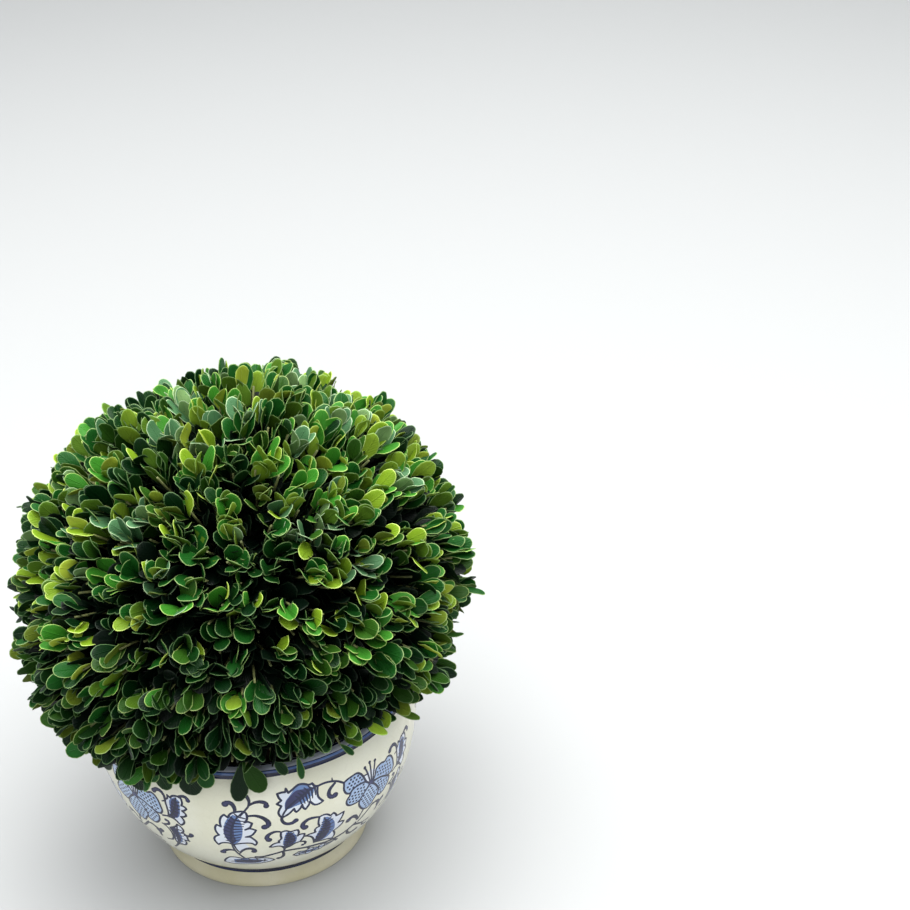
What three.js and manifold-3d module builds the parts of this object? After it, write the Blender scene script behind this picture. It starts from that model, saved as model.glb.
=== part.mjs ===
// A box plant clipped to a ball, in a round glazed planter. Millimetres, +Z up.
// The origin is the middle of the foot ring that the planter stands on.
import * as THREE from "three";
import { mergeVertices } from "three/addons/utils/BufferGeometryUtils.js";
import Module from "manifold-3d";

// Planter: a foot ring, a bowl that is widest near its mouth, and a rolled lip
const FOOT_RADIUS = 58;
const FOOT_NECK_RADIUS = 57;
const FOOT_HEIGHT = 12.6;
const FOOT_BEVEL = 0.8;
const FOOT_RING_WIDTH = 9;
const FOOT_RECESS = 3;
const BOWL_START_RADIUS = 57.6;
const BELLY_RADIUS = 88.7;
const BELLY_HEIGHT = 83.4;
const RIM_RADIUS = 85;
const RIM_HEIGHT = 100.4;
const LIP_HEIGHT = 2.6;
const LIP_OUTER_ROUND = 3;
const LIP_INNER_ROUND = 3.5;
const MOUTH_RADIUS = 76.5;
const WALL = 6;
const FLOOR_HEIGHT = 12;
const FLOOR_RADIUS = 49;
const BOWL_STEPS = 6;
const SHOULDER_STEPS = 3;
const LIP_STEPS = 3;
const PLANTER_SIDES = 48;

// Gap between pieces that touch
const GAP = 0.3;

// Potting mix inside the planter
const SOIL_HEIGHT = 86;
const SOIL_CROWN = 1.2;
const SOIL_SIDES = 36;

// Stem: flared where it leaves the soil, hidden inside the ball
const STEM_FLARE_RADIUS = 11;
const STEM_RADIUS = 7;
const STEM_TIP_RADIUS = 6;
const STEM_HEIGHT = 8.6;
const STEM_FLARE_HEIGHT = 4;
const STEM_SIDES = 20;

// Foliage ball: clipped a little wider than it is high, round a dense inner core
const BALL_HEIGHT = 163.6;
const BALL_RADIUS = 120;
const BALL_RISE = 113;
const CORE_RADIUS = 94;
const CORE_RISE = 87;
const CORE_DETAIL = 5;
const CORE_UNDERSIDE = 97;
const CROWN_STEM_SUNK = 12;

// Twigs end on an even spiral over the clipped outline, from its top down to the planter's lip.
// They grow out from the plant's axis: the upper ones from the ball's centre, the others from
// part of the way down to their own height
const SEED = 2611;
const RANDOM_FACTOR = 1664525;
const RANDOM_STEP = 1013904223;
const RANDOM_RANGE = 2 ** 32;
const TWIG_COUNT = 108;
const LOWEST_RISE = -0.56;
const AXIS_DROP = 0.5;
const TWIG_ROOT_RADIUS = 1.8;
const TWIG_TIP_RADIUS = 1.3;
const TWIG_SUNK = 8;
const TIP_SCATTER = 0.12;
const TWIG_BEYOND = 1;
const TWIG_EDGE_TURN = Math.PI / 12;
const GOLDEN_ANGLE = Math.PI * (3 - Math.sqrt(5));

// Leaves sit in opposite pairs, each pair a quarter turn from the one below
const LEAF_LENGTH = 26;
const LEAF_WIDTH = 17;
const LEAF_THICKNESS = 1.4;
const LEAF_WIDEST = 0.62;
const LEAF_CAMBER = 0.8;
const LEAF_PAIRS = [
  { back: 28, spread: 0.8, length: 1 },
  { back: 20, spread: 0.36, length: 0.8 },
];
const PAIR_STAGGER = 0.7;
const SPREAD_VARIATION = 0.16;
const TIP_INSET = 1.2;
const PLANTER_CLEARANCE = 1;

const wasm = await Module();
wasm.setup();

// A run of even random numbers between 0 and 1 that is the same each time
function seededRandom(seed) {
  let state = seed;
  return () => {
    state = (state * RANDOM_FACTOR + RANDOM_STEP) % RANDOM_RANGE;
    return state / RANDOM_RANGE;
  };
}

// A closed geometry as a solid that can be joined and cut
function solidOf(geometry) {
  const bare = geometry.clone();
  bare.deleteAttribute("normal");
  bare.deleteAttribute("uv");
  const merged = mergeVertices(bare, 1e-4);
  return new wasm.Manifold(
    new wasm.Mesh({
      numProp: 3,
      vertProperties: merged.attributes.position.array,
      triVerts: new Uint32Array(merged.index.array),
    }),
  );
}

function geometryOf(solid) {
  const mesh = solid.getMesh();
  const geometry = new THREE.BufferGeometry();
  geometry.setAttribute("position", new THREE.BufferAttribute(mesh.vertProperties, 3));
  geometry.setIndex(new THREE.BufferAttribute(mesh.triVerts, 1));
  geometry.computeVertexNormals();
  return geometry;
}

// A profile of [radius, height] points turned about the upright axis
function turned(profile, sides) {
  const points = profile.map(([radius, height]) => new THREE.Vector2(radius, height));
  return new THREE.LatheGeometry(points, sides).rotateX(Math.PI / 2);
}

// The radius of a bowl at a height: two quarter ellipses that meet at the belly
function bowlCurve(bellyRadius, low, high) {
  const reach = ([radius, height]) =>
    Math.abs(height - BELLY_HEIGHT) / Math.sqrt(1 - (radius / bellyRadius) ** 2);
  const reachBelow = reach(low);
  const reachAbove = reach(high);
  return (height) => {
    const rise = height - BELLY_HEIGHT;
    return bellyRadius * Math.sqrt(1 - (rise / (rise < 0 ? reachBelow : reachAbove)) ** 2);
  };
}

// Points of a bowl's wall between two heights, the lower one left out
function wallPoints(curve, from, to, steps) {
  return Array.from({ length: steps }, (_, i) => {
    const height = from + ((to - from) * (i + 1)) / steps;
    return [curve(height), height];
  });
}

// A quarter round of the lip, about a centre, from one angle on by a quarter turn
function lipRound(centreRadius, width, startAngle) {
  return Array.from({ length: LIP_STEPS }, (_, i) => {
    const angle = startAngle + ((Math.PI / 2) * (i + 1)) / LIP_STEPS;
    return [
      centreRadius + width * Math.cos(angle),
      RIM_HEIGHT + LIP_HEIGHT * Math.sin(angle),
    ];
  });
}

const outerCurve = bowlCurve(
  BELLY_RADIUS,
  [BOWL_START_RADIUS, FOOT_HEIGHT],
  [RIM_RADIUS, RIM_HEIGHT],
);
const innerCurve = bowlCurve(
  BELLY_RADIUS - WALL,
  [FLOOR_RADIUS, FLOOR_HEIGHT],
  [MOUTH_RADIUS, RIM_HEIGHT],
);

// The planter's outside and lip, from the outer edge of its foot up and over to the mouth
const planterOutside = [
  [FOOT_RADIUS - FOOT_BEVEL, 0],
  [FOOT_RADIUS, FOOT_BEVEL],
  [FOOT_NECK_RADIUS, FOOT_HEIGHT - FOOT_BEVEL],
  [BOWL_START_RADIUS, FOOT_HEIGHT],
  ...wallPoints(outerCurve, FOOT_HEIGHT, BELLY_HEIGHT, BOWL_STEPS),
  ...wallPoints(outerCurve, BELLY_HEIGHT, RIM_HEIGHT, SHOULDER_STEPS),
  ...lipRound(RIM_RADIUS - LIP_OUTER_ROUND, LIP_OUTER_ROUND, 0),
  [MOUTH_RADIUS + LIP_INNER_ROUND, RIM_HEIGHT + LIP_HEIGHT],
  ...lipRound(MOUTH_RADIUS + LIP_INNER_ROUND, LIP_INNER_ROUND, Math.PI / 2),
];

// The planter's inside, from the mouth down to the edge of its floor
const planterInside = [
  ...wallPoints(innerCurve, RIM_HEIGHT, BELLY_HEIGHT, SHOULDER_STEPS),
  ...wallPoints(innerCurve, BELLY_HEIGHT, FLOOR_HEIGHT, BOWL_STEPS),
];

function makePlanter() {
  const underside = [
    [0, FOOT_RECESS],
    [FOOT_RADIUS - FOOT_RING_WIDTH, FOOT_RECESS],
    [FOOT_RADIUS - FOOT_RING_WIDTH, 0],
  ];
  return turned(
    [...underside, ...planterOutside, ...planterInside, [0, FLOOR_HEIGHT]],
    PLANTER_SIDES,
  );
}

function makeSoil() {
  const wall = planterInside
    .filter(([, height]) => height < SOIL_HEIGHT)
    .map(([radius, height]) => [radius - 2 * GAP, Math.max(height, FLOOR_HEIGHT + GAP)])
    .reverse();
  const edge = innerCurve(SOIL_HEIGHT) - 2 * GAP;
  return turned(
    [[0, FLOOR_HEIGHT + GAP], ...wall, [edge, SOIL_HEIGHT], [0, SOIL_HEIGHT + SOIL_CROWN]],
    SOIL_SIDES,
  );
}

const stemFoot = SOIL_HEIGHT + SOIL_CROWN + GAP;
const stemTip = stemFoot + STEM_HEIGHT;

function makeStem() {
  return turned(
    [
      [0, stemFoot],
      [STEM_FLARE_RADIUS, stemFoot],
      [(STEM_FLARE_RADIUS + STEM_RADIUS) / 2, stemFoot + STEM_FLARE_HEIGHT / 3],
      [STEM_RADIUS, stemFoot + STEM_FLARE_HEIGHT],
      [STEM_TIP_RADIUS, stemTip],
      [0, stemTip],
    ],
    STEM_SIDES,
  );
}

// The core is an egg of dense inner twigs, cut flat in the planter's mouth, on a stem of its own
function makeCore() {
  const egg = new THREE.IcosahedronGeometry(1, CORE_DETAIL)
    .scale(CORE_RADIUS, CORE_RADIUS, CORE_RISE)
    .translate(0, 0, BALL_HEIGHT);
  const belowHeight = CORE_UNDERSIDE - FLOOR_HEIGHT;
  const below = new THREE.BoxGeometry(4 * CORE_RADIUS, 4 * CORE_RADIUS, belowHeight);
  below.translate(0, 0, CORE_UNDERSIDE - belowHeight / 2);
  const crownStem = turned(
    [
      [0, stemTip + GAP],
      [STEM_TIP_RADIUS, stemTip + GAP],
      [STEM_TIP_RADIUS, CORE_UNDERSIDE + CROWN_STEM_SUNK],
      [0, CORE_UNDERSIDE + CROWN_STEM_SUNK],
    ],
    STEM_SIDES,
  );
  return solidOf(egg).subtract(solidOf(below)).add(solidOf(crownStem));
}

// A leaf along +Y from its root at 0: a three-sided cone upside down, its two upper corners drawn
// out to the leaf's sides and the middle of its base to the leaf's tip
function leafShape(scale) {
  const shape = new THREE.ConeGeometry(1, 2, 3).rotateX(Math.PI);
  const length = LEAF_LENGTH * scale;
  const sideways = (LEAF_WIDTH * scale) / Math.sqrt(3);
  const place = shape.attributes.position;
  for (let i = 0; i < place.count; i++) {
    const [x, y, z] = [place.getX(i), place.getY(i), place.getZ(i)];
    if (Math.hypot(x, z) > 0.5) {
      const lift = z > 0 ? LEAF_CAMBER : LEAF_CAMBER - LEAF_THICKNESS;
      place.setXYZ(i, x * sideways, LEAF_WIDEST * length, lift);
    } else {
      place.setXYZ(i, 0, y > 0 ? length : 0, 0);
    }
  }
  return shape;
}

const ballCentre = new THREE.Vector3(0, 0, BALL_HEIGHT);

// How far it is from a point inside an egg round the ball's centre to the egg's surface
function reachOfEgg(radius, rise, origin, direction) {
  const squeeze = new THREE.Vector3(1 / radius, 1 / radius, 1 / rise);
  const start = origin.clone().sub(ballCentre).multiply(squeeze);
  const step = direction.clone().multiply(squeeze);
  const along = start.dot(step);
  const room = along ** 2 + step.lengthSq() * (1 - start.lengthSq());
  return (Math.sqrt(room) - along) / step.lengthSq();
}

function insideOutline(geometry) {
  const place = geometry.attributes.position;
  const point = new THREE.Vector3();
  for (let i = 0; i < place.count; i++) {
    point.fromBufferAttribute(place, i).sub(ballCentre);
    const flat = Math.hypot(point.x, point.y) / BALL_RADIUS;
    if (Math.hypot(flat, point.z / BALL_RISE) > 1) {
      return false;
    }
  }
  return true;
}

// The space of the planter and its soil, a little larger, that no twig or leaf may enter
function makeKeptClear() {
  const lipTop = RIM_HEIGHT + LIP_HEIGHT + PLANTER_CLEARANCE;
  const soilTop = SOIL_HEIGHT + SOIL_CROWN + PLANTER_CLEARANCE;
  const outside = planterOutside
    .filter(([, height]) => height <= RIM_HEIGHT)
    .map(([radius, height]) => [radius + PLANTER_CLEARANCE, height]);
  const mouth = MOUTH_RADIUS - PLANTER_CLEARANCE;
  const inside = [
    [RIM_RADIUS, lipTop],
    [mouth, lipTop],
    [mouth, soilTop],
    [0, soilTop],
  ];
  return solidOf(turned([[0, 0], ...outside, ...inside], PLANTER_SIDES));
}

// A twig's tip on the clipped outline, a little off the even spiral
function twigTip(index, random) {
  const scatter = () => TIP_SCATTER * (random() - 0.5);
  const rise = 1 - ((index + 0.5) / TWIG_COUNT) * (1 - LOWEST_RISE);
  const flat = Math.sqrt(1 - rise * rise);
  const angle = index * GOLDEN_ANGLE;
  const out = new THREE.Vector3(
    flat * Math.cos(angle) + scatter(),
    flat * Math.sin(angle) + scatter(),
    Math.max(rise + scatter(), LOWEST_RISE),
  );
  return out.normalize().multiply(new THREE.Vector3(BALL_RADIUS, BALL_RADIUS, BALL_RISE));
}

// A sprig's axis: where it leaves the plant's axis, and its direction
function sprigAxis(index, random) {
  const tip = twigTip(index, random);
  const origin = new THREE.Vector3(0, 0, Math.min(0, tip.z) * AXIS_DROP);
  const direction = tip.sub(origin).normalize();
  return { origin: origin.add(ballCentre), direction };
}

// The place of a sprig: its own +Y runs out along its axis
function sprigPlace({ origin, direction }) {
  const turn = new THREE.Quaternion().setFromUnitVectors(new THREE.Vector3(0, 1, 0), direction);
  return new THREE.Matrix4().compose(origin, turn, new THREE.Vector3(1, 1, 1));
}

// A three-sided twig between two distances along its axis
function makeTwig(place, turn, from, to) {
  return new THREE.CylinderGeometry(TWIG_TIP_RADIUS, TWIG_ROOT_RADIUS, to - from, 3)
    .rotateY(turn + TWIG_EDGE_TURN)
    .translate(0, (from + to) / 2, 0)
    .applyMatrix4(place);
}

// A leaf that leaves the twig at an angle, its upper face towards the twig's tip
function makeLeaf(place, turn, rootDistance, spread, scale) {
  return leafShape(scale)
    .rotateY(-Math.PI / 2)
    .rotateZ(-spread)
    .rotateY(turn)
    .translate(0, rootDistance, 0)
    .applyMatrix4(place);
}

// Every twig with its leaves, without those that would leave the outline or touch the planter.
// A twig that keeps no leaf is left out as well
function makeSprigs() {
  const random = seededRandom(SEED);
  const keptClear = makeKeptClear();
  const lipTop = RIM_HEIGHT + LIP_HEIGHT + PLANTER_CLEARANCE;
  const fits = (geometry, solid) => {
    geometry.computeBoundingBox();
    const aboveLip = geometry.boundingBox.min.z > lipTop;
    return insideOutline(geometry) && (aboveLip || solid.intersect(keptClear).isEmpty());
  };
  const grown = [];
  for (let i = 0; i < TWIG_COUNT; i++) {
    const axis = sprigAxis(i, random);
    const place = sprigPlace(axis);
    const turn = random() * Math.PI;
    const outline = reachOfEgg(BALL_RADIUS, BALL_RISE, axis.origin, axis.direction) - TIP_INSET;
    const surface = reachOfEgg(CORE_RADIUS, CORE_RISE, axis.origin, axis.direction);
    const twigEnd = outline - LEAF_PAIRS[LEAF_PAIRS.length - 1].back + TWIG_BEYOND;
    const twig = makeTwig(place, turn, surface - TWIG_SUNK, twigEnd);
    const twigSolid = solidOf(twig);
    const leaves = [];
    LEAF_PAIRS.forEach((pair, pairIndex) => {
      for (const half of [0, 1]) {
        const spread = pair.spread + SPREAD_VARIATION * (random() - 0.5);
        const root = outline - pair.back - half * PAIR_STAGGER;
        const leafTurn = turn + (pairIndex * Math.PI) / 2 + half * Math.PI;
        const leaf = makeLeaf(place, leafTurn, root, spread, pair.length);
        const leafSolid = solidOf(leaf);
        if (fits(leaf, leafSolid)) {
          leaves.push(leafSolid);
        }
      }
    });
    if (leaves.length > 0 && fits(twig, twigSolid)) {
      grown.push(twigSolid, ...leaves);
    }
  }
  return grown;
}

// The ball is the largest body of the join: a loose scrap or a hollow that the join seals is left out
function makeLeafBall() {
  const joined = makeSprigs().reduce((ball, piece) => ball.add(piece), makeCore());
  const bodies = joined.decompose();
  const whole = bodies.reduce((best, body) => (body.volume() > best.volume() ? body : best));
  return geometryOf(whole);
}

function named(name, geometry, colour, roughness) {
  const material = new THREE.MeshStandardMaterial({ color: colour, roughness, metalness: 0 });
  const mesh = new THREE.Mesh(geometry, material);
  mesh.name = name;
  return mesh;
}

const topiary = new THREE.Group();
topiary.add(
  named("pot", makePlanter(), 0xdad8c8, 0.12),
  named("pot_fill", makeSoil(), 0x5a5048, 0.95),
  named("stem", makeStem(), 0x7a6a52, 0.85),
  named("leaf_ball", makeLeafBall(), 0x35542a, 0.5),
);

export default topiary;
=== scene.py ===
import math

import bmesh
import bpy
import numpy as np
from mathutils import Matrix, Vector, noise
from mathutils.geometry import delaunay_2d_cdt


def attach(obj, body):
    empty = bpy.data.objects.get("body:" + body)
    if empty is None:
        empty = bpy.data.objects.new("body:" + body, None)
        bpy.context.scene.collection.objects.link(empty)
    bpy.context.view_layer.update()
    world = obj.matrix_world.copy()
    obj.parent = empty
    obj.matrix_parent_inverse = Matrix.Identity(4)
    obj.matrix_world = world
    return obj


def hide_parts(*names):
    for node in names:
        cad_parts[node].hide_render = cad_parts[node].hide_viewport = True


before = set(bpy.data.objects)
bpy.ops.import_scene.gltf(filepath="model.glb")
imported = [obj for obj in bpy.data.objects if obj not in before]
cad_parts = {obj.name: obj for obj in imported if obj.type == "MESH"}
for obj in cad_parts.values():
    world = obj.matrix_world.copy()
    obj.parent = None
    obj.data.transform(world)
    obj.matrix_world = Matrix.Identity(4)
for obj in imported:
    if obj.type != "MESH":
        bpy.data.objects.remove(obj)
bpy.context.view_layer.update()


# Camera
# It stands a little to the right of the planter and about thirty degrees above it, with a
# slight roll, and looks along +Y through a long lens. Metres, radians and millimetres of lens.
CAMERA_PLACE = Vector((0.1136, -0.8737, 0.7552))
CAMERA_DIP = 0.53442
CAMERA_ROLL = -0.026659
CAMERA_LENS = 78.253

ahead = Vector((0, math.cos(CAMERA_DIP), -math.sin(CAMERA_DIP)))
upward = Vector((0, math.sin(CAMERA_DIP), math.cos(CAMERA_DIP)))
level = Vector((1, 0, 0))
camera_right = math.cos(CAMERA_ROLL) * level + math.sin(CAMERA_ROLL) * upward
camera_up = math.cos(CAMERA_ROLL) * upward - math.sin(CAMERA_ROLL) * level
camera_data = bpy.data.cameras.new("camera")
camera_data.lens = CAMERA_LENS
camera = bpy.data.objects.new("camera", camera_data)
camera_turn = Matrix((camera_right, camera_up, -ahead)).transposed()
camera.matrix_world = Matrix.Translation(CAMERA_PLACE) @ camera_turn.to_4x4()
bpy.context.scene.collection.objects.link(camera)
bpy.context.scene.camera = camera


# Floor and light
# A plain sheet of pale paper that sweeps up behind the plant. A wide soft light hangs over it
# and a weak one stands at the front left. The room around them gives an even light of its own.
SWEEP_HALF_WIDTH = 4.0
SWEEP_FRONT = -3.0
SWEEP_BEND = 2.3
SWEEP_BEND_RADIUS = 0.4
SWEEP_TOP = 3.0
SWEEP_STEPS = 16
PAPER_ROUGHNESS = 0.6
ROOM_COLOUR = (0.93, 0.96, 1.0, 1.0)
ROOM_STRENGTH = 0.46


def linear(red, green, blue):
    """The linear colour of an sRGB colour given in steps of 255."""
    curve = lambda c: c / 12.92 if c <= 0.04045 else ((c + 0.055) / 1.055) ** 2.4
    return tuple(curve(c / 255) for c in (red, green, blue)) + (1.0,)


def plain_material(name, colour, roughness):
    """A material with one Principled shader. Returns both."""
    material = bpy.data.materials.new(name)
    material.use_nodes = True
    shader = material.node_tree.nodes["Principled BSDF"]
    shader.inputs["Base Color"].default_value = colour
    shader.inputs["Roughness"].default_value = roughness
    return material, shader


def placed(name, mesh, materials):
    """Stands a mesh in the scene as an object of its own at the origin, with these materials."""
    for material in materials:
        mesh.materials.append(material)
    piece = bpy.data.objects.new(name, mesh)
    bpy.context.scene.collection.objects.link(piece)
    return piece


def finished_mesh(name, bm, materials, smooth=True):
    """Makes a bmesh an object of its own, with its faces turned outwards."""
    bmesh.ops.recalc_face_normals(bm, faces=bm.faces)
    for face in bm.faces:
        face.smooth = smooth
    mesh = bpy.data.meshes.new(name)
    bm.to_mesh(mesh)
    bm.free()
    return placed(name, mesh, materials)


sheet = bmesh.new()
sweep_line = [(SWEEP_FRONT, 0.0)]
for step in range(SWEEP_STEPS + 1):
    angle = math.pi / 2 * step / SWEEP_STEPS
    rise = SWEEP_BEND_RADIUS * (1 - math.cos(angle))
    sweep_line.append((SWEEP_BEND + SWEEP_BEND_RADIUS * math.sin(angle), rise))
sweep_line.append((SWEEP_BEND + SWEEP_BEND_RADIUS, SWEEP_TOP))
line_verts = [sheet.verts.new((-SWEEP_HALF_WIDTH, y, z)) for y, z in sweep_line]
line_edges = [sheet.edges.new(pair) for pair in zip(line_verts, line_verts[1:])]
swept = bmesh.ops.extrude_edge_only(sheet, edges=line_edges)
swept_verts = [v for v in swept["geom"] if isinstance(v, bmesh.types.BMVert)]
bmesh.ops.translate(sheet, verts=swept_verts, vec=(2 * SWEEP_HALF_WIDTH, 0, 0))
paper, _ = plain_material("paper_sheet", linear(156, 158, 159), PAPER_ROUGHNESS)
floor = finished_mesh("floor", sheet, [paper])


def soft_light(name, place, target, width, power, colour):
    """A square area light at one place, turned to another."""
    light = bpy.data.lights.new(name, "AREA")
    light.shape = "SQUARE"
    light.size = width
    light.energy = power
    light.color = colour
    lamp = bpy.data.objects.new(name, light)
    lamp.location = place
    lamp.rotation_mode = "QUATERNION"
    lamp.rotation_quaternion = (Vector(target) - Vector(place)).to_track_quat("-Z", "Y")
    bpy.context.scene.collection.objects.link(lamp)


soft_light(
    "overhead",
    place=(0.08, 0.05, 1.8),
    target=(0.02, 0.02, 0.0),
    width=2.6,
    power=145.0,
    colour=(1.0, 0.99, 0.97),
)
soft_light(
    "front",
    place=(-0.2, -1.7, 0.9),
    target=(0.0, 0.0, 0.1),
    width=1.4,
    power=6.0,
    colour=(0.97, 0.98, 1.0),
)
room = bpy.data.worlds.new("room")
room.use_nodes = True
room_light = room.node_tree.nodes["Background"].inputs
room_light["Color"].default_value = ROOM_COLOUR
room_light["Strength"].default_value = ROOM_STRENGTH
bpy.context.scene.world = room
bpy.context.scene.view_settings.view_transform = "Standard"


# Planter
# A round stoneware planter: a bowl on a foot ring, with a rolled lip, glazed inside and out.
# The blue brushwork lies under the glaze, on the wall between the foot and the lip. The wall
# and the turned foot, lip and inside are one closed shell of clay. Sizes in millimetres.
MM = 0.001
FOOT_RADIUS = 58.0
FOOT_NECK_RADIUS = 57.0
FOOT_HEIGHT = 12.6
FOOT_BEVEL = 0.8
FOOT_RING_WIDTH = 9.0
FOOT_RING_ROUND = 1.0
FOOT_RECESS = 3.0
UNDERSIDE_RADIUS = 30.0
BOWL_START_RADIUS = 57.6
BELLY_RADIUS = 88.7
BELLY_HEIGHT = 83.4
RIM_RADIUS = 85.0
RIM_HEIGHT = 100.4
LIP_HEIGHT = 2.6
LIP_CREST_RADIUS = 82.0
LIP_OUTER_ROUND = 3.0
LIP_INNER_CENTRE = 80.0
LIP_INNER_ROUND = 3.5
MOUTH_RADIUS = 76.5
WALL = 6.0
FLOOR_HEIGHT = 12.0
FLOOR_RADIUS = 49.0
FLOOR_MIDDLE_RADIUS = 24.0
INSIDE_MIDDLE = 60.0
GROUPS = 4
GROUP_STEPS = 48
WALL_ROWS = 34
GROUP_START = math.radians(-105.2)
BASE_LINE_WIDTH = 2.2
FOOT_LINE_HEIGHT = 9.9
RIM_BAND_LOW = 99.2
CURVE_SAMPLES = 900
MERGE_DISTANCE = 0.001 * MM
CREAM, LINE, CORE, MID, WASH, PETAL, FOOT, INSIDE = range(8)


def bowl_radius(belly, low, high, height):
    """The radius of the bowl at a height: two quarter ellipses that meet at the belly."""
    radius, end = low if height < BELLY_HEIGHT else high
    reach = abs(end - BELLY_HEIGHT) / math.sqrt(1 - (radius / belly) ** 2)
    return belly * math.sqrt(max(0.0, 1 - ((height - BELLY_HEIGHT) / reach) ** 2))


def outer_radius(height):
    """The radius of the bowl's outside at a height."""
    low, high = (BOWL_START_RADIUS, FOOT_HEIGHT), (RIM_RADIUS, RIM_HEIGHT)
    return bowl_radius(BELLY_RADIUS, low, high, height)


def inner_radius(height):
    """The radius of the hollow at a height."""
    low, high = (FLOOR_RADIUS, FLOOR_HEIGHT), (MOUTH_RADIUS, RIM_HEIGHT)
    return bowl_radius(BELLY_RADIUS - WALL, low, high, height)


# The wall is laid out flat to paint it: distance round the belly across, distance up the
# wall's own curve upwards, both in millimetres.
curve_heights = np.linspace(FOOT_HEIGHT, RIM_BAND_LOW, CURVE_SAMPLES)
curve_radii = np.array([outer_radius(h) for h in curve_heights])
curve_steps = np.hypot(np.diff(curve_heights), np.diff(curve_radii))
curve_lengths = np.concatenate([[0.0], np.cumsum(curve_steps)])
WALL_TOP = float(curve_lengths[-1])
GROUP_WIDTH = 2 * math.pi * BELLY_RADIUS / GROUPS
strokes_points = []
strokes_faces = []
strokes_slots = []


def paint(slot, outline):
    """Lays a closed outline on the flat wall. Each one covers what was laid before it."""
    start = len(strokes_points)
    points = [tuple(p) for p in outline]
    area = sum(a[0] * b[1] - b[0] * a[1] for a, b in zip(points, points[1:] + points[:1]))
    if area < 0:
        points.reverse()
    strokes_points.extend(points)
    strokes_faces.append(list(range(start, start + len(points))))
    strokes_slots.append(slot)


SPLINE_STEPS = 12


def smooth_line(points, step):
    """Points evenly spaced along a smooth line through the given ones."""
    p = np.array([points[0], *points, points[-1]], float)
    t = np.linspace(0, 1, SPLINE_STEPS, endpoint=False)[:, None]
    fine = []
    for a, b, c, d in zip(p, p[1:], p[2:], p[3:]):
        bend, swing = 2 * a - 5 * b + 4 * c - d, 3 * b - a - 3 * c + d
        fine.append(0.5 * (2 * b + (c - a) * t + bend * t**2 + swing * t**3))
    fine = np.concatenate([*fine, [p[-1]]])
    along = np.concatenate([[0.0], np.cumsum(np.hypot(*np.diff(fine[:, :2], axis=0).T))])
    count = max(2, round(along[-1] / step) + 1)
    at = np.linspace(0, along[-1], count)
    return np.stack([np.interp(at, along, fine[:, k]) for k in range(p.shape[1])], 1)


def headings(line):
    """The direction of a line at each of its points, one long."""
    ahead = np.gradient(line, axis=0)
    return ahead / (np.linalg.norm(ahead, axis=1)[:, None] + 1e-9)


STROKE_STEP = 1.3
EDGE_STEP = 1.1
EDGE_WIDTH = 1.3


def brush(points, width, end_width=None, slot=LINE, step=STROKE_STEP):
    """A brush line through the points, from one width to the other."""
    line = smooth_line(points, step)
    ahead = headings(line)
    side = np.stack([-ahead[:, 1], ahead[:, 0]], 1)
    end_width = width if end_width is None else end_width
    half = np.linspace(width, end_width, len(line))[:, None] / 2
    left, right = line + side * half, line - side * half
    start = len(strokes_points)
    strokes_points.extend(tuple(p) for pair in zip(right, left) for p in pair)
    for k in range(start, start + 2 * len(line) - 2, 2):
        strokes_faces.append([k, k + 2, k + 3, k + 1])
        strokes_slots.append(slot)


def round_spot(centre, radius, sides=8, slot=LINE):
    """A round touch of the brush."""
    turn = [2 * math.pi * k / sides for k in range(sides)]
    x, y = centre
    paint(slot, [(x + radius * math.cos(a), y + radius * math.sin(a)) for a in turn])


# A tendril's width where it meets its ball, and the parts of its paler heart, in ball radii
BALL_NECK = 1.7
HEART_START = 0.3
HEART_END = 0.8
HEART_RADIUS = 0.5


def tendril(points, width=1.2, ball=1.8):
    """A curled line that swells to a ball at its end, its middle left a paler blue."""
    brush(points, width, ball * BALL_NECK)
    round_spot(points[-1], ball, 12)
    brush(points[len(points) // 2 :], ball * HEART_START, ball * HEART_END, CORE)
    round_spot(points[-1], ball * HEART_RADIUS, 8, CORE)


SHARP_CORNER = math.radians(52)


def smooth_runs(points):
    """A closed line cut at its sharp corners into smooth runs."""
    count = len(points)
    p = np.array(points, float)
    into, out = p - np.roll(p, 1, axis=0), np.roll(p, -1, axis=0) - p
    turn = np.arctan2(into[:, 0] * out[:, 1] - into[:, 1] * out[:, 0], (into * out).sum(1))
    corners = [i for i in range(count) if abs(turn[i]) > SHARP_CORNER] or [0]
    runs = []
    for a, b in zip(corners, corners[1:] + [corners[0] + count]):
        runs.append(smooth_line([points[i % count] for i in range(a, b + 1)], EDGE_STEP))
    return runs


def filled(slot, points):
    """A filled shape. Returns the runs of its edge."""
    runs = smooth_runs(points)
    paint(slot, [tuple(p) for run in runs for p in run[:-1]])
    return runs


def ink(runs):
    """A dark line drawn along the edge of a shape."""
    for run in runs:
        brush([tuple(p) for p in run], EDGE_WIDTH, step=EDGE_STEP)
        round_spot(run[0], EDGE_WIDTH / 2, 6)


RIB_STEP = 0.5
RIB_WIDTHS = (1.3, 0.9)
# The barbs: the stretch of the rib that they leave from, their widths at root and tip, how far
# they sweep forward, and how the shortest and the first compare with the longest
BARB_SPAN = (0.08, 0.84)
BARB_WIDTHS = (1.35, 0.6)
BARB_SWEEP = 0.3
SHORTEST_BARB = 0.55
FIRST_SWELL = 0.1


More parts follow.
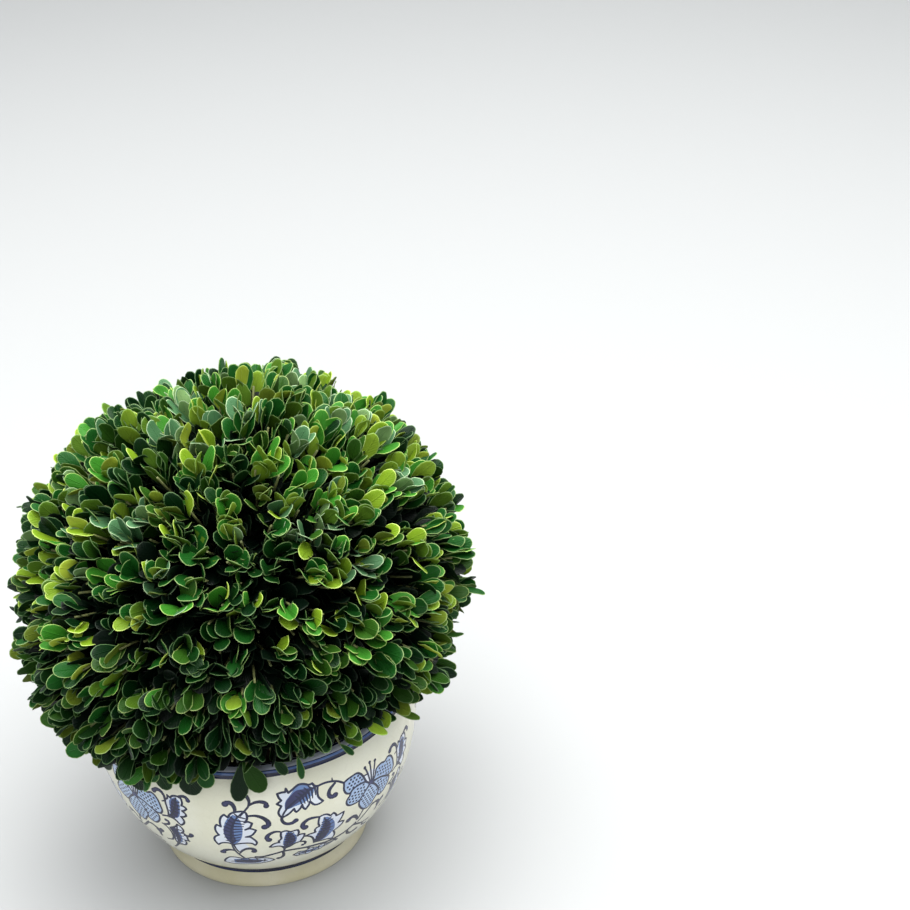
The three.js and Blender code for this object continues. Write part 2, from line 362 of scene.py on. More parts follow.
def feathered_leaf(outline, wash, heart, rib, barbs, left, right):
    """A leaf with pale pointed lobes and a dark heart, whose barbs run out over a blue wash."""
    edge = filled(PETAL, outline)
    filled(MID, wash)
    filled(CORE, heart)
    line = smooth_line(rib, RIB_STEP)
    ahead = headings(line)
    for share in np.linspace(*BARB_SPAN, barbs):
        i = int(share * (len(line) - 1))
        across = np.array([-ahead[i][1], ahead[i][0]])
        swell = math.sin(math.pi * (share * (1 - FIRST_SWELL) + FIRST_SWELL))
        for reach in (left, -right):
            reach *= SHORTEST_BARB + (1 - SHORTEST_BARB) * swell
            end = line[i] + across * reach + ahead[i] * abs(reach) * BARB_SWEEP
            brush([tuple(line[i]), tuple(end)], *BARB_WIDTHS)
    brush(rib, *RIB_WIDTHS)
    ink(edge)


DOT_ROWS = 14
DOT_COLUMNS = 6
FIRST_DOT_ROW = 2.2
DOT_ROW_STEP = 2.05
DOT_COLUMN_STEP = 2.3
DOT_RADIUS = 0.78
DOT_MARGIN = 1.35


def lies_within(x, y, rim):
    """Tells if a spot lies inside a closed line, by how often a level ray from it crosses."""
    ends = zip(rim, np.roll(rim, -1, axis=0))
    crossings = sum(
        (a[1] > y) != (b[1] > y) and x < a[0] + (y - a[1]) / (b[1] - a[1]) * (b[0] - a[0])
        for a, b in ends
    )
    return crossings % 2 == 1


def dotted_petal(outline, root):
    """A broad petal washed pale blue, with rows of small dots."""
    edge = filled(WASH, outline)
    rim = np.concatenate(edge)
    root = np.array(root, float)
    ahead = rim.mean(axis=0) - root
    ahead /= np.hypot(*ahead)
    side = np.array([-ahead[1], ahead[0]])
    for row in range(DOT_ROWS):
        row_middle = root + ahead * (FIRST_DOT_ROW + DOT_ROW_STEP * row)
        for column in range(-DOT_COLUMNS, DOT_COLUMNS + 1):
            place = row_middle + side * DOT_COLUMN_STEP * (column + 0.5 * (row % 2))
            if lies_within(*place, rim) and np.min(np.hypot(*(rim - place).T)) > DOT_MARGIN:
                round_spot(place, DOT_RADIUS, 6)
    ink(edge)


# One group of the scrolling vine. First its stems, then the big leaf with its tendrils.
brush([(25.5, 35.4), (30, 35), (35, 36.4), (40, 38), (44, 38.8), (50, 38.4), (57, 37.2)], 2.0)
brush([(57, 37.2), (64, 36.4), (71, 35.2), (79, 36), (84, 38), (90, 41.8)], 2.2)
brush([(88, 40.6), (92, 38.2), (97, 35.5), (103, 35)], 2.0, 1.6)
brush([(70, 39), (74, 36), (78.4, 31)], 1.6, 2.2)
brush([(57.5, 37), (58.6, 34.6), (60.4, 32)], 1.5, 2.2)
brush([(30.6, 35), (30.3, 31.6)], 1.3, 0.8)
brush([(43.2, 38.6), (43.4, 42.4)], 1.4)
brush([(93, 51.2), (91.6, 48), (90, 43.6)], 1.4)
brush([(101, 51), (97, 46.6), (93.6, 43), (91, 40.8)], 1.6)
brush([(114.9, 64), (117, 64.8), (119.6, 65.2), (122.4, 64.6), (125, 62.6)], 1.3)
brush([(112.6, 56.8), (115.8, 54.8), (117.4, 51), (117, 46), (114.6, 41.8), (110, 40)], 1.3)
brush([(117.8, 39), (114.5, 34.4), (111, 30.6)], 1.6, 1.0)
filled(PETAL, [(15.8, 50), (16, 46), (17.4, 42.4), (20, 45), (24, 47), (22, 50.6), (18, 50.6)])
brush([(19.5, 34), (17, 39), (15.4, 43), (14.6, 47), (14.4, 51)], 1.5, 1.1)
brush([(15.4, 50.2), (16, 46), (17.4, 42)], 1.0)
feathered_leaf(
    [
        (15, 49.8), (13.6, 51), (11.5, 51.4), (9.3, 51.1), (7.7, 50.1), (6.6, 48.9), (5.9, 50.4),
        (5.2, 52.5), (5.2, 54.8), (6.3, 56.8), (8.4, 58.2), (7.4, 60), (6.9, 62.5), (7.2, 65),
        (8.2, 66.6), (10.3, 65.2), (10.1, 68), (10.4, 70.6), (11.3, 72.8), (12.9, 74.4),
        (14.7, 72.4), (15.8, 74.6), (17.6, 76), (20, 76.6), (22.8, 76.8), (24.4, 75.6),
        (24.8, 73), (24.5, 70.8), (23.1, 68.8), (25, 69.4), (27, 68), (26.3, 66), (25.5, 64.7),
        (23, 63.1), (25.6, 64), (28.7, 62.4), (27.4, 60), (25.9, 58.2), (22.7, 57), (25.2, 57),
        (26.6, 55.2), (27.9, 53), (28.3, 51), (27.2, 48.9), (25.6, 50.9), (23, 51.4), (20, 51.2),
        (17.4, 50.6),
    ],
    [(15, 50.4), (12.4, 54), (11.2, 60), (12, 66), (14.2, 71.4), (17.6, 74.6), (20.4, 71.6),
     (21.6, 66), (21.3, 60), (20, 55), (17.6, 51.6)],
    [(15, 50.4), (12.6, 53.4), (11.4, 58.4), (11.4, 63), (13, 67), (15, 71), (17, 73.6),
     (17.8, 69), (17, 64), (16.6, 58), (17.2, 53.4)],
    [(15, 51), (14.8, 56), (15.4, 62), (17, 67.5), (19.6, 72.5), (23, 76.4)],
    9, 4.4, 6.0,
)
tendril([(18.6, 76), (18.8, 79), (17.4, 82), (15.2, 82.6), (14, 81.6)], 1.7, 1.9)
brush([(21, 73.5), (23.5, 76.6), (26, 80)], 1.2)
tendril([(26, 80), (26.6, 83.4), (25.4, 86.4), (23.6, 87.8)], 1.2, 1.5)
tendril([(25.6, 80.2), (29, 82.2), (32.4, 82.5), (35, 81.2), (35.2, 79.4)], 1.2, 1.6)
tendril([(24.8, 73.4), (29, 73.4), (32.6, 71.6), (35.2, 68.4), (35.4, 65.4), (33.4, 64.4)], 1.3, 2.0)
tendril([(15.6, 43.4), (12.8, 44.2), (10, 43.6), (8.2, 42), (7.8, 41)], 1.3, 1.9)
tendril([(17.4, 40), (19, 43), (21.6, 45.3), (24.4, 45.7), (26.4, 44.2), (26, 42.4)], 1.2, 1.8)
feathered_leaf(
    [(5.5, 26.5), (7.2, 31), (10.5, 34.8), (14.5, 35), (19, 33.4), (24, 34.4), (27, 33.2),
     (31, 33.4), (35.4, 31), (37.4, 28.5), (33.6, 26.4), (26, 24.5), (16, 24), (9.6, 24.4)],
    [(12, 26), (12.6, 32), (19, 33), (27, 32), (31, 29), (26, 26)],
    [(13, 27), (14, 31.6), (20, 32), (26, 31), (30, 28.6), (24, 26)],
    [(33, 29), (26, 30), (18, 30), (10, 28)],
    5, 3.0, 3.0,
)
tendril([(42.6, 38), (43, 34), (42, 31.2), (39.8, 30.2)], 1.6, 1.6)
feathered_leaf(
    [(49, 31), (52.6, 33.8), (56.4, 32.8), (60, 34.4), (64, 33), (68, 34.4), (71, 32.8),
     (76.4, 33), (72.4, 30.4), (69.4, 30.2), (66, 28), (62.4, 29), (59, 27), (55, 28.4),
     (52, 28)],
    [(51, 31), (55, 32.4), (63, 32.4), (70, 32), (64, 29.6), (57, 29)],
    [(51.6, 31), (56, 32), (63, 31.8), (68, 31.6), (62, 30), (56, 29.8)],
    [(51, 30.8), (58, 30.8), (66, 31), (73, 32)],
    5, 2.6, 2.6,
)
tendril([(84, 38), (85.4, 33.6), (89, 30.8), (93, 31.4)], 1.7, 1.8)
tendril([(97, 35.5), (98.4, 31.8), (102, 30)], 1.5, 1.4)

# The two leaves low on the vine.
feathered_leaf(
    [(43.4, 41.8), (42, 44.6), (39.5, 45.7), (36.8, 45.4), (35, 45.9), (36.6, 47.9), (38.4, 49),
     (40.6, 49.1), (40.2, 50.8), (41.8, 52.6), (41.5, 55.6), (41.8, 58.4), (44.4, 58.9),
     (47, 57.3), (49, 57.7), (50.9, 57.6), (51.5, 55.8), (51.3, 53.6), (50.7, 52.1),
     (52.6, 53.1), (54.8, 52.6), (54.6, 50.8), (53.6, 48.2), (52.2, 46), (49.6, 45.4),
     (46.8, 43.4)],
    [(44, 42.5), (46.6, 43.2), (49.6, 46), (50.4, 50), (49.6, 54), (47, 57), (44.6, 57.4),
     (43.4, 53), (42.6, 48), (43, 45)],
    [(44, 42.6), (46, 43.2), (48.4, 45.6), (49.6, 49), (49, 53), (47.2, 56), (45.2, 57),
     (44.4, 54), (43.8, 50), (43, 46.4)],
    [(44, 42.5), (45.6, 48), (46.4, 53), (45.4, 57)],
    6, 3.0, 4.2,
)
tendril([(41.6, 58.8), (38.6, 59.5), (35.4, 58), (33.9, 55.2), (35, 52.9)], 1.3, 1.9)
tendril([(52.6, 45.8), (55.2, 44.8), (55.6, 42.4), (54.2, 41.6)], 1.3, 1.2)
feathered_leaf(
    [(61, 40.5), (60.6, 43.6), (59.6, 46.6), (57.8, 48.8), (55.2, 50.1), (57.8, 50.8),
     (61.3, 50.8), (60.7, 53), (61.5, 54.7), (63.5, 55.3), (62.7, 57.6), (62.7, 60.4),
     (63.2, 63.2), (65.4, 63.7), (67.6, 63.1), (69.8, 60.9), (71.4, 62.3), (72.8, 60.7),
     (73.5, 58.8), (75.6, 59), (78.1, 59.5), (77.6, 56.6), (76.4, 53.8), (75.2, 51.9),
     (77.2, 51.9), (79, 51), (77.8, 48.8), (75.4, 46.8), (72.8, 45.6), (74, 42.6), (74.3, 39.6),
     (73.2, 37.3), (69.8, 38.8), (65.6, 39.8)],
    [(61.4, 41), (66, 40.4), (69.4, 42), (72.8, 47), (73, 52), (71.6, 56.6), (68.4, 60.6),
     (65.6, 61.4), (64.6, 56), (63, 50.6), (61.6, 46)],
    [(61.4, 41), (65, 40.6), (68, 42.6), (69.6, 46.6), (70.4, 52), (69.4, 56.4), (66.8, 60.2),
     (65.8, 56), (64.2, 51), (62, 46)],
    [(62, 41), (65.4, 48), (67.4, 54), (66, 61.6)],
    8, 3.2, 5.4,
)
tendril([(63.6, 63), (60.5, 63.9), (57, 64), (54.2, 62), (53.6, 59.4), (55, 58)], 1.3, 2.0)

# The leaf that hangs from the upper stem, with its tendrils.
feathered_leaf(
    [(63, 85), (62.5, 81), (63, 77.6), (65.4, 74.1), (63, 73.1), (60.4, 73.6), (58.1, 76.7),
     (57.4, 74.6), (55.5, 72.1), (54.3, 73.6), (53.8, 75.9), (52.6, 73.5), (50.6, 71.7),
     (49.7, 72.9), (49.4, 74.5), (47, 72), (44.8, 70.6), (42.8, 69.7), (41.5, 71.8),
     (41.2, 74.4), (42.9, 77.8), (40.6, 79.8), (43.1, 81.5), (41.9, 83.6), (41.3, 86),
     (43.5, 86.4), (45.6, 86.3), (46, 88.2), (47.2, 85.4), (49, 86.6), (51.4, 88.2),
     (53.4, 88.9), (56, 88.4), (58.4, 87.2), (60.3, 87.5), (61.4, 85.6)],
    [(44.6, 74.6), (45, 80), (48, 84), (51, 88), (55.6, 88), (61, 84.6), (60, 81), (55, 77),
     (50, 76), (47, 75)],
    [(44.8, 75.4), (45.4, 80), (48.6, 83.8), (51.4, 85.8), (55, 85.6), (59.6, 85.2), (58, 82.6),
     (54, 79.4), (50.4, 77.2), (47.6, 75.6)],
    [(62.4, 85.2), (58, 83.8), (54, 81.8), (50.4, 79.6)],
    6, 6.4, 3.4,
)
brush([(50.4, 79.6), (46.6, 76.4), (44.4, 73.6), (43.1, 71)], 1.2)
tendril([(43, 71), (42.6, 67.8), (44.4, 64.8), (47.6, 64.1), (50, 65.6)], 1.5, 1.6)
brush([(62.5, 84.8), (66.5, 85.3), (70.5, 84.8), (74.5, 83.2), (77.8, 80.6)], 1.3)
brush([(71.4, 84.4), (71.5, 86.8)], 1.5, 0.4)
tendril([(73.2, 83.2), (69.6, 80.2), (68.8, 76.8), (70.4, 74.6), (72.4, 75)], 1.5, 1.9)

# The five-petalled blossom with its three stamens.
filled(PETAL, [(91.4, 77.6), (94.4, 71), (96.4, 69.6), (98.6, 71), (100.6, 77), (96, 79)])
dotted_petal(
    [(97.6, 70.2), (99.4, 73), (100.2, 76.6), (102.6, 77.9), (105, 78), (107.4, 77.2),
     (110, 78.6), (112.6, 77.6), (114.5, 74.8), (115.5, 71), (116, 68), (114.6, 65.4),
     (111.6, 65), (106, 67.6), (101, 69.4)],
    (98, 69.6),
)
dotted_petal(
    [(97.4, 69.4), (100.2, 65.4), (102.4, 61), (102.8, 57.2), (104.6, 54.8), (107.6, 54.5),
     (110.3, 56.6), (112.1, 59.6), (112.5, 63), (109, 66), (103, 69)],
    (98, 69),
)
dotted_petal(
    [(78.1, 80.4), (80.6, 81.6), (83.4, 82), (86.4, 82.3), (88.8, 80.7), (90.6, 77.8),
     (92.2, 74), (94, 70.6), (88, 72.4), (84, 72.4), (81.2, 71.3), (79.2, 72.6), (77.9, 75.6),
     (78, 78.4)],
    (94, 71),
)
dotted_petal(
    [(95.4, 70), (92.4, 73), (89, 73.8), (85.4, 73.6), (82.6, 72.2), (81.4, 69.4), (79.9, 67.6),
     (79.4, 65.6), (80.2, 63.4), (82.2, 61.9), (85, 61.4), (88, 61.6), (91, 64.6)],
    (95.6, 69.4),
)
dotted_petal(
    [(96.2, 69.6), (93, 67), (90.2, 64), (88.6, 61.4), (88.4, 58.6), (89.4, 56), (91.4, 53),
     (93.6, 51.2), (96.2, 50.4), (98.8, 51.6), (100.6, 54.4), (103, 57.2), (103.2, 60.4),
     (101.4, 64), (98.8, 67.4)],
    (96.2, 69.4),
)
brush([(90.6, 77.8), (93.8, 77.6)], 1.1)
for line in (
    [(95.8, 70), (94.8, 74.4), (93.8, 78.2), (92.2, 82.6)],
    [(96.6, 70), (96.4, 76), (95.9, 84)],
    [(97.4, 70), (98.2, 75), (98.9, 79), (99.8, 83)],
):
    brush(line, 1.1, 1.2)
    round_spot(line[-1], 1.05)
round_spot((96.4, 70), 1.5, 10, CORE)
tendril([(90, 43.8), (88.8, 47), (86.6, 49.8), (84, 50), (82.4, 48.8)], 1.6, 2.0)
tendril([(100.4, 49.8), (103.4, 50), (106.2, 48.2), (106.4, 46.2)], 1.5, 1.8)
tendril([(106, 40), (106.8, 44), (108, 46.8), (109.6, 48.2)], 1.5, 1.8)

# The two leaves that end the group.
feathered_leaf(
    [(119.3, 65), (119.9, 68), (119.7, 72), (119.3, 75), (119.5, 77.6), (121, 79), (121, 81),
     (122.8, 79.7), (123.6, 81.1), (125.2, 81.8), (127.4, 82), (129.3, 81), (129.7, 78.4),
     (129, 76.3), (130.6, 76.1), (131.8, 74.8), (130.6, 73.4), (128.9, 72.5), (130.6, 71.2),
     (131, 69.6), (129.4, 68.4), (127.6, 67.9), (128.7, 66), (128.9, 64), (127.9, 62.2),
     (126.2, 60.8), (124.9, 62.2), (123.7, 64), (121.6, 65.2)],
    [(120.6, 66), (121.6, 72), (122, 78), (125.6, 81), (128, 79), (127.8, 73), (126.6, 68),
     (124, 65.6)],
    [(120.8, 66.2), (121.8, 70), (122.4, 75), (123.4, 78.6), (125.8, 80.4), (127, 77),
     (126.8, 72), (125.8, 68), (124, 66)],
    [(120.4, 65.6), (123.4, 70), (125, 75), (126.2, 81)],
    6, 3.0, 3.4,
)
tendril([(119.2, 77), (118.8, 80), (116.8, 82.2), (114.2, 82.4), (112.4, 80.8)], 1.5, 1.6)
brush([(119.5, 76.6), (116.8, 75.4)], 1.3, 0.8)
tendril([(127.3, 81.8), (130.3, 82.9), (132.4, 82.4), (133.2, 80.8)], 1.5, 1.4)
feathered_leaf(
    [(117.8, 38.8), (117.2, 41.6), (117.9, 45.4), (118.8, 49.4), (118.7, 52.4), (117.8, 55),
     (120.2, 56.6), (122.4, 58.2), (123.8, 60.4), (125.7, 59), (126.7, 56.6), (126.2, 54.8),
     (124.9, 53.6), (126.8, 53), (127.4, 50.6), (127.3, 48), (127.8, 46.4), (126, 46.7),
     (124.9, 46.1), (125.2, 44.2), (124.4, 42), (122.9, 40.3), (120.2, 39.4)],
    [(118, 40), (119, 45), (119.4, 50), (118.2, 54.8), (121, 56.4), (123, 55), (123.8, 49),
     (122, 43)],
    [(118, 40), (119, 45), (119.4, 50), (118.2, 54.8), (120.8, 56.2), (122.4, 54), (122.8, 49),
     (121, 43)],
    [(118.4, 39.6), (120.6, 46), (121.6, 52), (123.4, 59)],
    6, 2.2, 4.0,
)
tendril([(125.7, 52), (128.3, 51.6), (130.4, 52.6), (131, 53.8)], 1.8, 1.6)
tendril([(114.2, 56.6), (117.6, 58), (118.4, 60.4), (116.8, 61)], 1.4, 1.2)


# Points of the flat wall closer than this are one.
SAME_POINT = 1e-4


def painted_wall():
    """The flat group cut along every outline. Returns its points, triangles and slots."""
    points = list(strokes_points)
    faces = list(strokes_faces)
    slots = list(strokes_slots)
    columns = np.linspace(0, GROUP_WIDTH, GROUP_STEPS + 1)
    rows = np.linspace(BASE_LINE_WIDTH, WALL_TOP, WALL_ROWS + 1)
    start = len(points)
    rim = [(x, rows[0]) for x in columns[:-1]]
    rim += [(columns[-1], y) for y in rows[:-1]]
    rim += [(x, rows[-1]) for x in columns[:0:-1]]
    rim += [(columns[0], y) for y in rows[:0:-1]]
    points += rim
    faces.insert(0, list(range(start, start + len(rim))))
    slots.insert(0, CREAM)
    points += [(x, y) for x in columns[1:-1] for y in rows[1:-1]]
    flat, _, triangles, _, _, covers = delaunay_2d_cdt(
        [Vector(p) for p in points], [], faces, 1, SAME_POINT, True
    )
    return flat, triangles, [slots[max(owner)] for owner in covers]


def on_wall(point, group):
    """Where a point of the flat wall lies on the turned one."""
    angle = GROUP_START + (group + point[0] / GROUP_WIDTH) * 2 * math.pi / GROUPS
    height = float(np.interp(point[1], curve_lengths, curve_heights))
    radius = outer_radius(height)
    return Vector((radius * math.cos(angle), radius * math.sin(angle), height)) * MM


clay = bmesh.new()
flat_points, flat_triangles, flat_slots = painted_wall()
for group in range(GROUPS):
    corners = [clay.verts.new(on_wall(p, group)) for p in flat_points]
    for triangle, slot in zip(flat_triangles, flat_slots):
        face = clay.faces.new([corners[i] for i in triangle])
        face.material_index = slot

# The colours of the lip step by step, from its band up to the crest and down into the mouth
LIP_BAND_COLOURS = [LINE] * 2 + [MID] * 3 + [LINE] + [PETAL] * 4
LIP_INNER_COLOURS = [LINE] * 3 + [PETAL] * 2 + [MID] + [PETAL] * 2 + [LINE] * 2
FOOT_INNER_RADIUS = FOOT_RADIUS - FOOT_RING_WIDTH

# Profiles of radius, height and colour: the foot down from the wall, under its ring and in to
# the middle, then the lip up from the wall, over and down the inside.
base_height = float(np.interp(BASE_LINE_WIDTH, curve_lengths, curve_heights))
turned_line = [(outer_radius(h), h, LINE) for h in np.linspace(base_height, FOOT_HEIGHT, 4)]
turned_line += [
    (FOOT_NECK_RADIUS, FOOT_HEIGHT, LINE),
    (FOOT_NECK_RADIUS + 0.1, FOOT_LINE_HEIGHT, LINE),
    (FOOT_NECK_RADIUS + 0.35, FOOT_HEIGHT * 0.7, FOOT),
    (FOOT_RADIUS - 0.2, FOOT_HEIGHT * 0.3, FOOT),
    (FOOT_RADIUS, FOOT_BEVEL, FOOT),
    (FOOT_RADIUS - 0.25, FOOT_BEVEL * 0.3, FOOT),
    (FOOT_RADIUS - FOOT_BEVEL, 0.0, FOOT),
    (FOOT_INNER_RADIUS + FOOT_RING_ROUND, 0.0, FOOT),
    (FOOT_INNER_RADIUS, FOOT_BEVEL, FOOT),
    (FOOT_INNER_RADIUS - 0.6, FOOT_RECESS, FOOT),
    (UNDERSIDE_RADIUS, FOOT_RECESS + 0.15, FOOT),
    (0.0, FOOT_RECESS + 0.2, FOOT),
]


def lip_quarter(middle, reach, start, colours):
    """A quarter turn of the lip, on from the angle start, with a colour for each step."""
    quarter = []
    for step, slot in enumerate(colours, 1):
        angle = start + math.pi / 2 * step / len(colours)
        height = RIM_HEIGHT + LIP_HEIGHT * math.sin(angle)
        quarter.append((middle + reach * math.cos(angle), height, slot))
    return quarter


lip_line = [(outer_radius(h), h, LINE) for h in np.linspace(RIM_BAND_LOW, RIM_HEIGHT, 4)]
lip_line += lip_quarter(LIP_CREST_RADIUS, LIP_OUTER_ROUND, 0.0, LIP_BAND_COLOURS)
lip_line.append((LIP_INNER_CENTRE, RIM_HEIGHT + LIP_HEIGHT, PETAL))
lip_line += lip_quarter(LIP_INNER_CENTRE, LIP_INNER_ROUND, math.pi / 2, LIP_INNER_COLOURS)
inside_heights = [*np.linspace(RIM_HEIGHT, INSIDE_MIDDLE, 12)]
inside_heights += [*np.linspace(INSIDE_MIDDLE, FLOOR_HEIGHT, 10)[1:]]
inside_line = [(inner_radius(h), h, INSIDE) for h in inside_heights[1:]]
inside_line += [(FLOOR_MIDDLE_RADIUS, FLOOR_HEIGHT, INSIDE), (0.0, FLOOR_HEIGHT, INSIDE)]


def turn_on_wheel(bm, line, steps, start):
    """Spins a profile of (radius, height, slot) full circle and adds it to a bmesh. A face
    takes the slot of its stretch of the profile."""
    turned = bmesh.new()
    verts = [
        turned.verts.new((r * MM * math.cos(start), r * MM * math.sin(start), h * MM))
        for r, h, _ in line
    ]
    edges = [turned.edges.new(pair) for pair in zip(verts, verts[1:])]
    bmesh.ops.spin(
        turned,
        geom=verts + edges,
        cent=(0, 0, 0),
        axis=(0, 0, 1),
        dvec=(0, 0, 0),
        angle=2 * math.pi,
        steps=steps,
        use_merge=True,
    )
    bmesh.ops.remove_doubles(turned, verts=turned.verts, dist=MERGE_DISTANCE)
    at = np.array([(r, h) for r, h, _ in line])
    middles = (at[:-1] + at[1:]) / 2
    for face in turned.faces:
        corners = [(math.hypot(v.co.x, v.co.y) / MM, v.co.z / MM) for v in face.verts]
        middle = (np.min(corners, axis=0) + np.max(corners, axis=0)) / 2
        stretch = int(np.argmin(np.hypot(*(middles - middle).T)))
        face.material_index = line[stretch + 1][2]
    mesh = bpy.data.meshes.new("turned")
    turned.to_mesh(mesh)
    turned.free()
    bm.from_mesh(mesh)
    bpy.data.meshes.remove(mesh)


turn_on_wheel(clay, turned_line, GROUPS * GROUP_STEPS, GROUP_START)
turn_on_wheel(clay, lip_line + inside_line, GROUPS * GROUP_STEPS, GROUP_START)
bmesh.ops.remove_doubles(clay, verts=clay.verts, dist=2 * MERGE_DISTANCE)
bmesh.ops.dissolve_degenerate(clay, edges=clay.edges, dist=MERGE_DISTANCE)


def node_group(name, inputs, outputs):
    """An empty node group and what it is given. Sockets have a kind each, by their names."""
    group = bpy.data.node_groups.new(name, "ShaderNodeTree")
    for way, sockets in (("INPUT", inputs), ("OUTPUT", outputs)):
        for socket, kind in sockets.items():
            group.interface.new_socket(socket, in_out=way, socket_type="NodeSocket" + kind)
    return group, group.nodes.new("NodeGroupInput").outputs


def wired(tree, kind, inputs, **settings):
    """A new node with its settings. Each input takes a value or the output of another node."""
    node = tree.nodes.new(kind)
    for name, value in settings.items():
        setattr(node, name, value)
    for name, value in inputs.items():
        if isinstance(value, bpy.types.NodeSocket):
            tree.links.new(value, node.inputs[name])
        else:
            node.inputs[name].default_value = value
    return node


def maths(tree, operation, *values):
    """The result of a sum on values and outputs."""
    return wired(tree, "ShaderNodeMath", dict(enumerate(values)), operation=operation).outputs[0]


def noise_over(tree, place, **inputs):
    """How strong a cloudy noise is at each place."""
    inputs["Vector"] = place
    return wired(tree, "ShaderNodeTexNoise", inputs).outputs["Fac"]


def mixed(tree, share, first, second):
    """A colour between two others."""
    inputs = {"Factor": share, "A": first, "B": second}
    return wired(tree, "ShaderNodeMix", inputs, data_type="RGBA").outputs["Result"]


def stretched(tree, value, low, high, start=0.0, end=1.0):
    """A value that runs from low to high, made to run from start to end."""
    spans = {"From Min": low, "From Max": high, "To Min": start, "To Max": end}
    return wired(tree, "ShaderNodeMapRange", {"Value": value, **spans}).outputs["Result"]


CLOUD_SCALE = 34.0
CLOUD_SPAN = (0.35, 0.65)
CRACKLE_SCALE = 210.0
CRACKLE_WIDTH = 0.03
CRACKLE_COLOUR = linear(150, 144, 118)
WAVE_SCALE = 26.0
CLOUD_ROUGHNESS = 0.1


def glaze_group():
    """A node group for the glaze: soft cloudiness between a thin and a thick tone, a fine net
    of crackle and the slight waves of a poured surface."""
    inputs = {"Thin": "Color", "Thick": "Color", "Crackle": "Float", "Roughness": "Float"}
    outputs = {"Color": "Color", "Roughness": "Float", "Height": "Float"}
    group, given = node_group("glaze_surface", inputs, outputs)
    place = wired(group, "ShaderNodeTexCoord", {}).outputs["Object"]
    cloud = noise_over(group, place, Scale=CLOUD_SCALE, Detail=4.0)
    pooled = stretched(group, cloud, *CLOUD_SPAN)
    tone = mixed(group, pooled, given["Thin"], given["Thick"])
    net = {"Vector": place, "Scale": CRACKLE_SCALE}
    cracks = wired(group, "ShaderNodeTexVoronoi", net, feature="DISTANCE_TO_EDGE")
    near = stretched(group, cracks.outputs["Distance"], 0.0, CRACKLE_WIDTH, 1.0, 0.0)
    crazed = maths(group, "MULTIPLY", near, given["Crackle"])
    rough = maths(group, "MULTIPLY_ADD", cloud, CLOUD_ROUGHNESS, given["Roughness"])
    waves = noise_over(group, place, Scale=WAVE_SCALE, Detail=1.0)
    colour = mixed(group, crazed, tone, CRACKLE_COLOUR)
    wired(group, "NodeGroupOutput", {"Color": colour, "Roughness": rough, "Height": waves})
    return group


def surfaced(name, colour, roughness, group, values, strength, depth):
    """A material whose colour and roughness, where the group has them, and relief come from a
    node group. The relief's depth is in metres."""
    material, shader = plain_material(name, colour, roughness)
    tree = material.node_tree
    surface = wired(tree, "ShaderNodeGroup", values, node_tree=group)
    for output, target in (("Color", "Base Color"), ("Roughness", "Roughness")):
        if output in surface.outputs:
            tree.links.new(surface.outputs[output], shader.inputs[target])
    relief = {"Strength": strength, "Distance": depth, "Height": surface.outputs["Height"]}
    bump = wired(tree, "ShaderNodeBump", relief)
    tree.links.new(bump.outputs["Normal"], shader.inputs["Normal"])
    return material, shader


glaze_nodes = glaze_group()
WAVE_STRENGTH = 0.25
WAVE_DEPTH = 0.0008
GLAZE_ROUGHNESS = 0.1


def glaze(name, thin, thick, roughness=GLAZE_ROUGHNESS, crackle=0.0):
    """A glazed colour that pools from a thin tone to a thick one."""
    values = {"Thin": thin, "Thick": thick, "Crackle": crackle, "Roughness": roughness}
    material, _ = surfaced(name, thick, roughness, glaze_nodes, values, WAVE_STRENGTH, WAVE_DEPTH)
    return material


glazes = [
    glaze("cream_glaze", linear(222, 221, 199), linear(230, 230, 213), crackle=0.08),
    glaze("cobalt_line", linear(34, 42, 74), linear(18, 24, 52)),
    glaze("cobalt_heart", linear(52, 58, 104), linear(36, 36, 74)),
    glaze("cobalt_mid", linear(108, 138, 188), linear(72, 94, 150)),
    glaze("cobalt_wash", linear(176, 198, 226), linear(140, 166, 208)),
    glaze("bluish_white", linear(226, 232, 240), linear(212, 220, 234), crackle=0.03),
    glaze("bare_foot", linear(200, 194, 160), linear(212, 207, 180), roughness=0.3, crackle=0.1),
    # The inside glaze is greyer and cooler than the cream outside: painted shade in the mouth under
    # the ball.
    glaze(
        "inside_glaze_painted_shade", linear(180, 186, 188), linear(200, 202, 196), roughness=0.16, crackle=0.08
    ),
]
planter = finished_mesh("planter", clay, glazes)
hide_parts("pot")
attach(planter, "root")


# Potting mix
# Coarse bark and peat that fills the planter to a finger's breadth under the lip, crowned at
# the stem. It is one closed lump that follows the inside of the wall, its top rough with chips.
MIX_GAP = 0.6
MIX_TOP = 86.0
MIX_CROWN = 1.2
MIX_SIDES = 96
MIX_RINGS = 22
MIX_ROWS = 16
MIX_EDGE = 0.5
# Depth and fineness of the coarse and the fine chips
CHIPS = ((2.4, 120), (1.2, 310))

mix = bmesh.new()
mix_line = [(0.0, FLOOR_HEIGHT + MIX_GAP, 0)]
for height in np.linspace(FLOOR_HEIGHT + MIX_GAP, MIX_TOP, MIX_ROWS):
    mix_line.append((inner_radius(height) - MIX_GAP, height, 0))
mix_rim = inner_radius(MIX_TOP) - MIX_GAP
for ring in range(1, MIX_RINGS + 1):
    share = 1 - ring / MIX_RINGS
    mix_line.append((mix_rim * share, MIX_TOP + MIX_CROWN * (1 - share**2), 0))
turn_on_wheel(mix, mix_line, MIX_SIDES, 0.0)
bmesh.ops.remove_doubles(mix, verts=mix.verts, dist=MERGE_DISTANCE)
for vert in mix.verts:
    flat = vert.co.xy.length / MM
    if vert.co.z > (MIX_TOP - MIX_EDGE) * MM and flat < mix_rim - MIX_EDGE:
        chips = [depth * abs(noise.noise(vert.co * fineness)) for depth, fineness in CHIPS]
        vert.co.z -= sum(chips) * MM


GRAIN_SPAN = (0.35, 0.7)


